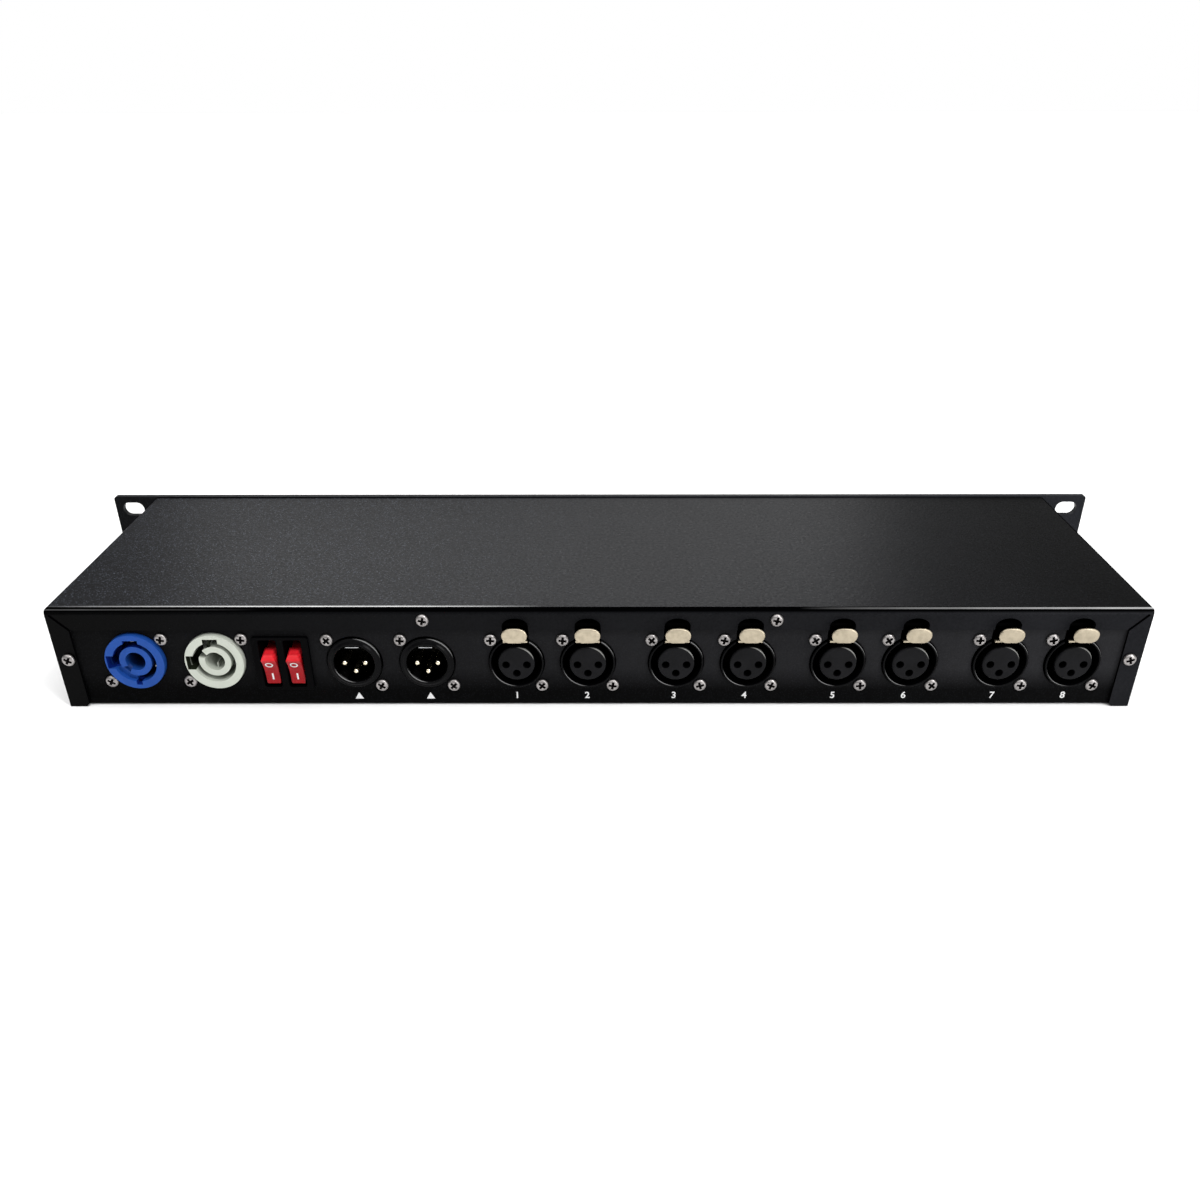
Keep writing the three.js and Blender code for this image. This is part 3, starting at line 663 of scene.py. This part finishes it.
cutters += [cyl(sx * SIDE_SCREW[0], SIDE_SCREW[1], 1.9, 0, 4, 20) for sx in (-1, 1)]
cutters.append(box(LED_X[0] - 4, LED_X[-1] + 4, yf0 - 1, yf1 + 1, 20, 24.4))
cutters += [cyl(sx * 205, z, 1.9, yf0 - 1, yf1 + 1, 20) for sx in (-1, 1) for z in (8, 36)]
cut(base, cutters)
bevel(base, 0.12)
# the walls of the holes get the near-black painted shade
finish(base, "case_base", "base", replaces="chassis_base",
       second=("edge", lambda p, n: p.y < y1 + 0.1 and abs(n.y) < 0.5 and 3 < p.z < 41.5))

# rack panel
front = prism(rounded(482.6 / 2, 44.4 / 2, 1.5, 5, 0, 22.2), PANEL_Y, PANEL_Y + 3, "Y")
cutters = []
for sx in (-1, 1):
    for sz in (-1, 1):
        cutters.append(prism(rounded(5.2, 3.3, 3.29, 8, sx * 232.55, 22.2 + sz * 15.875), PANEL_Y - 1, PANEL_Y + 4, "Y"))
    for z in (8, 36):
        cutters.append(lathe([(0, PANEL_Y - 1), (1.9, PANEL_Y - 1), (1.9, PANEL_Y + 1.3), (3.3, PANEL_Y + 1.6), (3.3, PANEL_Y + 4), (0, PANEL_Y + 4)],
                             sx * 205, z, 32))
cutters += [cyl(x, 22.2, 2.0, PANEL_Y - 1, PANEL_Y + 4, 32) for x in LED_X]
cut(front, cutters)
bevel(front, 0.28, 3)
finish(front, "rack_panel", "panel", replaces="front_panel")


# ------------------------------------------------------------------ screws
def screw_master(r=2.6, seat=1.2, high=1.5, end=9.5):
    """Pan head with a cross recess, at x = z = 0, seated at y = seat."""
    face = seat - high
    prof = [(0, face), (r * 0.5, face + 0.04), (r * 0.78, face + 0.2), (r * 0.93, face + 0.5), (r, face + 0.9), (r, seat - 0.08),
            (r - 0.1, seat), (1.45, seat), (1.45, end - 0.4), (1.1, end), (0, end)]
    o = lathe(prof, 0, 0, 40)
    arm = 1.8
    wide, deep = 0.52, 1.2
    cross = []
    for turn in (0, 1):
        bm = bmesh.new()
        ring0 = [(-arm, -wide), (arm, -wide), (arm, wide), (-arm, wide)]
        ring1 = [(-0.9, -wide * 0.75), (0.9, -wide * 0.75), (0.9, wide * 0.75), (-0.9, wide * 0.75)]
        if turn:
            ring0 = [(b, a) for a, b in ring0]
            ring1 = [(b, a) for a, b in ring1]
        v0 = [bm.verts.new((a, face - 0.05, b)) for a, b in ring0]
        v1 = [bm.verts.new((a, face + deep, b)) for a, b in ring1]
        bm.faces.new(v0)
        bm.faces.new(v1)
        for i in range(4):
            j = (i + 1) % 4
            bm.faces.new((v0[i], v0[j], v1[j], v1[i]))
        cross.append(temp(bm))
    cut(o, cross)
    return bevel(o, 0.05, 1, 40)


screw_base = screw_master()
edge_base = screw_master(2.6, -GAP, 1.5, 6)


def screw_at(master, x, z):
    o = copy_at(master, 0)
    o.data.transform(Matrix.Translation((x, 0, z)) @ Matrix.Rotation(random.uniform(0, math.pi / 2), 4, "Y"))
    return o


def in_recess(centres, seat):
    """Test for the faces inside a cross recess."""
    def test(p, n):
        return (seat - 1.3 < p.y < seat + 0.05 and abs(n.y) < 0.999
                and any(math.hypot(p.x - a, p.z - b) < 1.72 for a, b in centres)) or (
            seat - 0.5 < p.y < seat + 0.05 and any(math.hypot(p.x - a, p.z - b) < 1.2 for a, b in centres))
    return test


STRIP_MAINS = [(15.5, 12.5), (8.6, 12.5), (8.6, 9.3), (12.7, 3.6), (12.7, -12.7), (-5.3, -12.7),
               (-10.9, -7.0), (-15.5, -7.0), (-15.5, -14.5), (15.5, -14.5)]
STRIP_SOCKET = [(-14.2, 13), (-14.2, -14.2), (13, -14.2), (13, -5.2), (5.2, -13), (-13, -13), (-13, 5.2), (-7.8, 10.4), (-7.8, 13)]


def fixing(node, xc, zc, strip, dx, dz):
    parts = [prism([(xc + a, zc + b) for a, b in strip], 5.7, 7.2, "Y")]
    spots = [(xc + k * dx, zc + k * dz) for k in (-1, 1)]
    for a, b in spots:
        parts.append(screw_at(screw_base, a, b))
    # the cross recesses get painted shade
    finish(merge(parts), node.replace("fixing", "screws"), "screw", replaces=node, smooth=40,
           second=("recess", in_recess(spots, 1.2)))


for i, x in enumerate(MAINS_X):
    fixing(("power_inlet_fixing", "power_outlet_fixing")[i], x, MAINS_Z, STRIP_MAINS, 12, 9.5)
for i, x in enumerate(INPUT_X):
    fixing("input_%s_fixing" % "ab"[i], x, SOCKET_Z, STRIP_SOCKET, 10.15, -10.27)
for i, x in enumerate(OUTPUT_X):
    fixing("output_%d_fixing" % (i + 1), x, SOCKET_Z, STRIP_SOCKET, 10.15, -10.27)
for name, (x, z) in (("cover_screw_left", EDGE_SCREW[0]), ("cover_screw_right", EDGE_SCREW[1]),
                     ("side_screw_left", (-SIDE_SCREW[0], SIDE_SCREW[1])), ("side_screw_right", SIDE_SCREW)):
    # the cross recess gets painted shade
    finish(screw_at(edge_base, x, z), name + "_fine", "screw", replaces=name, smooth=40,
           second=("recess", in_recess([(x, z)], -GAP)))
drop([screw_base, edge_base])


# ------------------------------------------------------------------ mains sockets
def sector(xc, zc, r0, r1, a0, a1, y0, y1, n=12):
    """Part of a ring between two angles in degrees."""
    pts = [(xc + r1 * math.cos(math.radians(a0 + (a1 - a0) * i / n)), zc + r1 * math.sin(math.radians(a0 + (a1 - a0) * i / n)))
           for i in range(n + 1)]
    pts += [(xc + r0 * math.cos(math.radians(a1 + (a0 - a1) * i / n)), zc + r0 * math.sin(math.radians(a1 + (a0 - a1) * i / n)))
            for i in range(n + 1)]
    return prism(pts, y0, y1, "Y")


def mains(node, name, xc, mat, gap_angle, gap_half, keys, ledges, fins, shade):
    zc = MAINS_Z
    body = lathe([(0, 24), (0, 12), (4.0, 12), (4.0, 0.0), (6.5, 0.0), (6.5, 13), (8.75, 13), (8.75, -1.0),
                  (11.9, -1.0), (11.9, 3.1), (12.2, 5.4), (12.2, 24)], xc, zc, 80)
    cutters = []
    a0, a1 = math.radians(gap_angle - gap_half), math.radians(gap_angle + gap_half)
    cutters.append(prism([(xc + 1.5 * math.cos((a0 + a1) / 2), zc + 1.5 * math.sin((a0 + a1) / 2)),
                          (xc + 7.6 * math.cos(a0), zc + 7.6 * math.sin(a0)),
                          (xc + 7.6 * math.cos(a1), zc + 7.6 * math.sin(a1))], -2, 11, "Y"))
    for x0, x1, z0, z1, depth in keys:
        cutters.append(box(xc + x0, xc + x1, -2, depth, zc + z0, zc + z1))
    cut(body, cutters)
    extra = [sector(xc, zc, ra, rb, aa, ab, ya, yb) for ra, rb, aa, ab, ya, yb in ledges]
    extra += [box(xc + x0, xc + x1, ya, yb, zc + z0, zc + z1) for x0, x1, z0, z1, ya, yb in fins]
    union(body, extra)
    bevel(body, 0.28, 3, 40)
    flange = prism(rounded(15.5, 13, 1.5, 4, xc, zc), 3.0, 5.4, "Y")
    cut(flange, [cyl(xc + k * 12, zc + k * 9.5, 1.9, 2, 6, 20) for k in (-1, 1)] + [cyl(xc, zc, 11.0, 2, 6, 40)])
    # the keyways and the slot beside them are always in shade
    finish(merge([body, flange]), name, mat, replaces=node, clean=True, second=(mat + "_deep", lambda p, n: any(
        p.y > 0.2 and x0 - 0.1 < p.x - xc < x1 + 0.1 and z0 - 0.1 < p.z - zc < z1 + 0.1 for x0, x1, z0, z1, _ in keys) or (
        p.y > 0.6 and 6.2 < math.hypot(p.x - xc, p.z - zc) < 8.95
        and shade[0] < math.degrees(math.atan2(p.z - zc, p.x - xc)) % 360 < shade[1])))


mains("power_inlet", "mains_inlet", MAINS_X[0], "blue", 222, 17,
      [(-11.2, -8, -2.8, 2.8, 9), (-1.2, 1.2, -10.2, -8, 3), (-3, 3, 8, 9.6, 4)],
      [(6.4, 8.85, 194, 262, 1.3, 12.5), (4.2, 6.6, 207, 237, 2.2, 11)], [], (60, 200))
mains("power_outlet", "mains_outlet", MAINS_X[1], "grey", 148, 15,
      [(-11.2, -8, -3.2, 2.8, 9), (-3.2, 2.8, 8, 10.2, 6)],
      [], [(-1.9, -1.2, 6.4, 10.3, 1.0, 6.5), (-0.5, 0.1, -4.1, -2.0, 3.0, 12)], (100, 118))
for i, (dx, dz) in enumerate(((-0.9, 7.6), (6.7, -3.6))):
    blade = box(MAINS_X[0] + dx - 0.6, MAINS_X[0] + dx + 0.6, 3.0, 12.6, MAINS_Z + dz - 0.35, MAINS_Z + dz + 0.35)
    bevel(blade, 0.15, 2)
    finish(blade, "mains_inlet_blade_%d" % (i + 1), "zinc")

# ------------------------------------------------------------------ switch
xc, zc = SWITCH_X, SWITCH_Z
housing = prism(rounded(11.5, 11.75, 1.0, 5, xc, zc), -0.6, 1.2, "Y")
union(housing, [box(xc - 10, xc + 10, 1.0, 24, zc - 11.2, zc + 11.2)]
      + [box(xc + k * 5.05 - 0.4, xc + k * 5.05 + 0.4, 23.8, 31, zc + h - 2.4, zc + h + 2.4) for k in (-1, 1) for h in (-7, 0, 7)])
cut(housing, [prism(rounded(3.6, 10.6, 0.8, 4, xc + k * 5.05, zc), -2, 15.5, "Y") for k in (-1, 1)]
    + [cyl_x(10.6, zc, 1.35, xc + k * 5.05 - 4.5, xc + k * 5.05 + 4.5) for k in (-1, 1)])
bevel(housing, 0.25, 3, 40)
finish(housing, "switch_frame", "black", replaces="switch_housing")


def rocker(node, body, x):
    phi = math.radians(16)

    def place(me):
        me.transform(Matrix.Translation((x, 10.6, SWITCH_Z)) @ Matrix.Rotation(phi, 4, "X"))

    def front(h):
        return 12.3 - 1.14 * (1 - (h / 6.2) ** 2) if abs(h) < 6.2 else 12.3

    # side outline: [height, distance forward]
    face = [(6.2 - 12.4 * i / 12, front(6.2 - 12.4 * i / 12)) for i in range(13)]
    prof = ([(4.2, 4.9), (6.6, 5.0), (7.4, 5.6), (7.8, 6.8), (7.9, 8.3), (7.75, 9.8), (7.4, 11.0), (6.9, 11.9)] + face
            + [(-6.6, 12.1), (-7.0, 11.6), (-7.3, 10.8), (-7.5, 9.7), (-7.6, 8.4), (-7.6, 6.5), (-4, -2.5), (4, -2.5)])
    o = prism([(-l, h) for h, l in prof], -2.85, 2.85, "X")
    outline = (arc(2.85 - 2.4, 8.0 - 2.4, 2.4, 0, 90, 10) + arc(-2.85 + 2.4, 8.0 - 2.4, 2.4, 90, 180, 10)
               + arc(-2.85 + 2.5, -7.6 + 2.5, 2.5, 180, 270, 8) + arc(2.85 - 2.5, -7.6 + 2.5, 2.5, 270, 360, 8))
    boolean(o, [prism(outline, -14, 4, "Y")], "INTERSECT")
    bevel(o, 0.6, 4, 30)
    pin = cyl_x(0, 0, 1.0, -4.3, 4.3)
    bevel(pin, 0.15, 2)
    o = merge([o, pin])
    place(o.data)
    finish(o, node + "_cap", "red", body, node, 50)

    # marks: a ring on the upper half, a bar on the lower half
    def mark(outline, hole=None):
        bm = bmesh.new()
        th = 0.06
        loops = [outline] + ([hole] if hole else [])
        rings = []
        for lp in loops:
            lo = [bm.verts.new((a, -(front(h) + th), h)) for a, h in lp]
            hi = [bm.verts.new((a, -(front(h) - 0.2), h)) for a, h in lp]
            rings.append((lo, hi))
        for lo, hi in rings:
            for i in range(len(lo)):
                j = (i + 1) % len(lo)
                bm.faces.new((lo[i], lo[j], hi[j], hi[i]))
        if hole:
            for k in (0, 1):
                a, b = rings[0][k], rings[1][k]
                for i in range(len(a)):
                    j = (i + 1) % len(a)
                    bm.faces.new((a[i], a[j], b[j], b[i]))
        else:
            bm.faces.new(rings[0][0])
            bm.faces.new(rings[0][1])
        return temp(bm)

    def oval(a, b, cx=-0.3, ch=3.2):
        return [(cx + a * math.cos(t), ch + b * math.sin(t)) for t in (2 * math.pi * i / 32 for i in range(32))]

    ring = mark(oval(1.6, 1.4), oval(1.08, 0.88))
    k = 0.33
    bar = mark([(-k, -4.5), (k, -4.5), (k, -3.5), (k, -2.5), (k, -1.6), (-k, -1.6), (-k, -2.5), (-k, -3.5)])
    o = merge([ring, bar])
    place(o.data)
    finish(o, node + "_marks", "ink", body)


rocker("rocker_left", "rocker_left", xc - 5.05)
rocker("rocker_right", "rocker_right", xc + 5.05)

# ------------------------------------------------------------------ inputs
for i, x in enumerate(INPUT_X):
    tag, z = "input_" + "ab"[i], SOCKET_Z
    shell = lathe([(0, 18), (0, 16), (8.3, 16), (8.3, 0.0), (8.36, -0.22), (8.52, -0.4), (8.75, -0.48), (9.0, -0.46), (9.3, -0.36),
                   (9.9, 0.02), (10.15, 0.1), (10.5, 0.12), (10.8, 0.22), (11.0, 0.45), (11.1, 0.8), (11.1, 3.1), (12, 5.4), (12, 18)], x, z, 96)
    flange = prism(rounded(13, 13, 1.5, 4, x, z), 3.0, 5.4, "Y")
    cut(flange, [cyl(x + k * 10.15, z - k * 10.27, 1.9, 2, 6, 20) for k in (-1, 1)] + [cyl(x, z, 10.8, 2, 6, 40)])
    key = box(x - 2.85, x + 2.85, -0.35, 10, z + 7.3, z + 8.8)
    bevel(key, 0.18, 2)
    cut(shell, [cyl(x + dx, z + dz, 1.65, 15, 19, 20) for dx, dz in CONTACTS])
    finish(merge([shell, flange, key]), tag + "_socket", "shell", replaces=tag + "_shell")
    # a bright zinc strip along the key's front edge, standing for the highlight on its bevel
    lip = box(x - 2.7, x + 2.7, -0.44, -0.2, z + 7.3, z + 7.62)
    bevel(lip, 0.08, 2)
    finish(lip, tag + "_key_highlight_strip", "zinc")
    for k, (dx, dz) in enumerate(CONTACTS):
        pin = lathe([(0, 0.8), (0.45, 0.86), (0.85, 1.1), (1.1, 1.5), (1.2, 2.1), (1.2, 20.2), (0, 20.2)], x + dx, z + dz, 28)
        finish(pin, "%s_contact_%d" % (tag, k + 1), "gold", replaces="%s_pin_%d" % (tag, k + 1))

# ------------------------------------------------------------------ outputs
z = SOCKET_Z
lip = [(10.3, 15.5), (10.3, 0.4)] + [(10.7 + 0.4 * math.cos(math.radians(a)), 0.4 + 0.4 * math.sin(math.radians(a)))
                                     for a in (200, 225, 250, 270, 290, 315, 340)] + [(11.1, 0.42)]
shell = lathe([(0, 17), (0, 15.5)] + lip + [(11.1, 3.1), (12, 5.4), (12, 17)], 0, z, 96)
union(shell, [box(-7.4, 7.4, 5.5, 17, 28, 35.4)])
cut(shell, [cyl(0, z, 10.28, -2, 15.45, 96), box(-5.5, 5.5, -2, 15.5, z + 6, 34.1), cyl_x(12.5, 31.4, 1.35, -7, 7)])
flange = prism(rounded(13, 13, 1.5, 4, 0, z), 3.0, 5.4, "Y")
cut(flange, [cyl(k * 10.15, z - k * 10.27, 1.9, 2, 6, 20) for k in (-1, 1)] + [cyl(0, z, 10.8, 2, 6, 40), box(-5.5, 5.5, 2, 6, z + 6, 40)])
shell_master = merge([shell, flange])

insert_master = lathe([(0, 15.2), (0, -0.3), (6.7, -0.3), (6.95, -0.26), (7.2, -0.12), (7.38, 0.1), (7.45, 0.4), (7.45, 15.2)], 0, z, 72)
cut(insert_master, [lathe([(0, -2), (1.7, -2), (1.7, -0.4), (1.35, 0.0), (1.35, 8), (0, 8)], dx, z + dz, 28) for dx, dz in CONTACTS])

# latch: flat tongue, rising neck and crowned thumb pad
tongue = box(-4.85, 4.85, -2, 13.4, 30.2, 31.0)
union(tongue, [prism([(-2, 30.2), (-0.9, 31.0), (-4.8, 33.3), (-5.6, 33.3), (-5.6, 32.2)], -2.3, 2.3, "X"),
               box(-2.5, 2.5, 4, 6, 29.1, 30.4), cyl_x(12.5, 31.4, 1.0, -6.7, 6.7)])
bevel(tongue, 0.12, 2)
outline = [(-2.4, 31.7), (2.4, 31.7), (3.3, 32.05), (4.1, 32.55), (4.7, 33.3), (5.0, 34.2), (5.05, 35.1), (4.8, 36.05), (4.25, 36.85),
           (3.4, 37.45), (2.4, 37.8), (1.2, 37.95), (0, 38.0), (-1.2, 37.95), (-2.4, 37.8), (-3.4, 37.45), (-4.25, 36.85), (-4.8, 36.05),
           (-5.05, 35.1), (-5.0, 34.2), (-4.7, 33.3), (-4.1, 32.55), (-3.3, 32.05)]
bm = bmesh.new()
cx, cz = 0.0, 34.9
rings = []
for s, y in ((1.0, -5.0), (1.0, -5.55), (0.955, -5.76), (0.88, -5.87), (0.6, -5.96), (0.3, -6.0)):
    rings.append([bm.verts.new((cx + (a - cx) * s, y, cz + (b - cz) * s)) for a, b in outline])
tip = bm.verts.new((cx, -6.0, cz))
bm.faces.new(rings[0])
for a, b in zip(rings, rings[1:]):
    for i in range(len(a)):
        j = (i + 1) % len(a)
        bm.faces.new((a[i], a[j], b[j], b[i]))
for i in range(len(outline)):
    j = (i + 1) % len(outline)
    bm.faces.new((rings[-1][i], rings[-1][j], tip))
pad = temp(bm)
latch_master = merge([tongue, pad])

for i, x in enumerate(OUTPUT_X):
    tag = "output_%d" % (i + 1)
    # the shell's insides behind the panel get the near-black painted shade
    finish(copy_at(shell_master, x), tag + "_socket", "shell", replaces=tag + "_shell",
           second=("edge", lambda p, n: p.y > 1.4 and (p.z > 30 or abs(n.y) > 0.9 or p.y > 5)))
    # the walls of the contact holes get the near-black painted shade
    finish(copy_at(insert_master, x), tag + "_face", "insert", replaces=tag + "_insert",
           clean=True, second=("edge", lambda p, n: any(math.hypot(p.x - x - a, p.z - z - b) < 1.72 and abs(n.y) < 0.98 for a, b in CONTACTS)))
    finish(copy_at(latch_master, x), tag + "_lever", "latch", "latch_%d" % (i + 1), tag + "_latch", 40)
drop([shell_master, insert_master, latch_master])


# ------------------------------------------------------------------ printed marks
def glyph(text, x, z, size, name, y=1.5, turn=False, mat="ink"):
    cu = bpy.data.curves.new(name, "FONT")
    cu.body = text
    cu.size = size
    cu.align_x, cu.align_y = "CENTER", "CENTER"
    cu.extrude = 0.03
    cu.offset = 0.02 * size
    o = bpy.data.objects.new(name, cu)
    scene.collection.objects.link(o)
    dg = bpy.context.evaluated_depsgraph_get()
    me = bpy.data.meshes.new_from_object(o.evaluated_get(dg))
    bpy.data.objects.remove(o)
    me.transform(Matrix.Rotation(math.pi / 2, 4, "X"))
    if turn:
        me.transform(Matrix.Rotation(math.pi, 4, "Z"))
    me.transform(Matrix.Translation((x, y, z)))
    o = bpy.data.objects.new(name, me)
    scene.collection.objects.link(o)
    return finish(o, name, mat)


for i, x in enumerate(OUTPUT_X):
    glyph(str(i + 1), x - 0.4, 4.3, 4.1, "mark_output_%d" % (i + 1))
for i, x in enumerate(INPUT_X):
    tri = prism([(x - 1.75, 2.8), (x + 1.75, 2.8), (x, 5.8)], 1.44, 1.6, "Y")
    finish(tri, "mark_input_%d" % (i + 1), "ink")
for i, x in enumerate(LED_X[:2:-1]):
    glyph(str(i + 1), x, 28.6, 4.2, "front_mark_%d" % (i + 1), PANEL_Y + 3, True)

# ------------------------------------------------------------------ carried-over nodes
for name, mat in (("main_board", "board"), ("power_supply", "supply"), ("indicator_light_pipe", "pipe"), ("front_panel_fixing", "zinc")):
    nodes[name].data.materials.clear()
    nodes[name].data.materials.append(MAT[mat])

# ------------------------------------------------------------------ floor and light
bm = bmesh.new()
bmesh.ops.create_grid(bm, x_segments=1, y_segments=1, size=6)
me = bpy.data.meshes.new("floor")
bm.to_mesh(me)
bm.free()
floor = bpy.data.objects.new("floor", me)
floor.location.z = -0.0002
scene.collection.objects.link(floor)
n = Nodes("floor_pale")
n.color(n.mix(n.range(n.noise(6, 2), 0.3, 0.7, 0, 1), (0.93, 0.93, 0.93), (0.95, 0.95, 0.95)))
n.set(Roughness=0.9, Specular_IOR_Level=0.1)
me.materials.append(n.mat)

world = bpy.data.worlds.new("world")
scene.world = world
world.use_nodes = True
tree = world.node_tree
back = tree.nodes["Background"]
back.inputs[0].default_value = (1, 1, 1, 1)
# a white horizon under a dimmer studio ceiling
coord = tree.nodes.new("ShaderNodeTexCoord")
split = tree.nodes.new("ShaderNodeSeparateXYZ")
fade = tree.nodes.new("ShaderNodeMapRange")
tree.links.new(coord.outputs["Generated"], split.inputs[0])
tree.links.new(split.outputs[2], fade.inputs[0])
for i, v in enumerate((0.04, 0.18, 1.0, 0.26)):
    fade.inputs[i + 1].default_value = v
tree.links.new(fade.outputs[0], back.inputs[1])


def light(name, kind, loc, aim, power, **settings):
    d = bpy.data.lights.new(name, kind)
    d.energy = power
    for k, v in settings.items():
        setattr(d, k, v)
    o = bpy.data.objects.new(name, d)
    scene.collection.objects.link(o)
    o.location = loc
    o.rotation_euler = (Vector(aim) - Vector(loc)).to_track_quat("-Z", "Y").to_euler()
    o.visible_camera = False
    return o


light("key", "SUN", (0.5, -0.42, 0.85), (0, 0, 0), 1.0, angle=math.radians(8))
light("fill", "SUN", (-0.05, -0.25, 1.0), (0, 0, 0), 2.9, angle=math.radians(90))
light("side", "AREA", (0.72, -0.78, 0.28), (0.12, -0.06, 0.02), 3.6, size=0.5)
light("back", "AREA", (-0.11, 1.2, 0.59), (-0.02, 0, 0.04), 3.15, shape="RECTANGLE", size=1.1, size_y=0.4)

scene.view_settings.view_transform = "Standard"
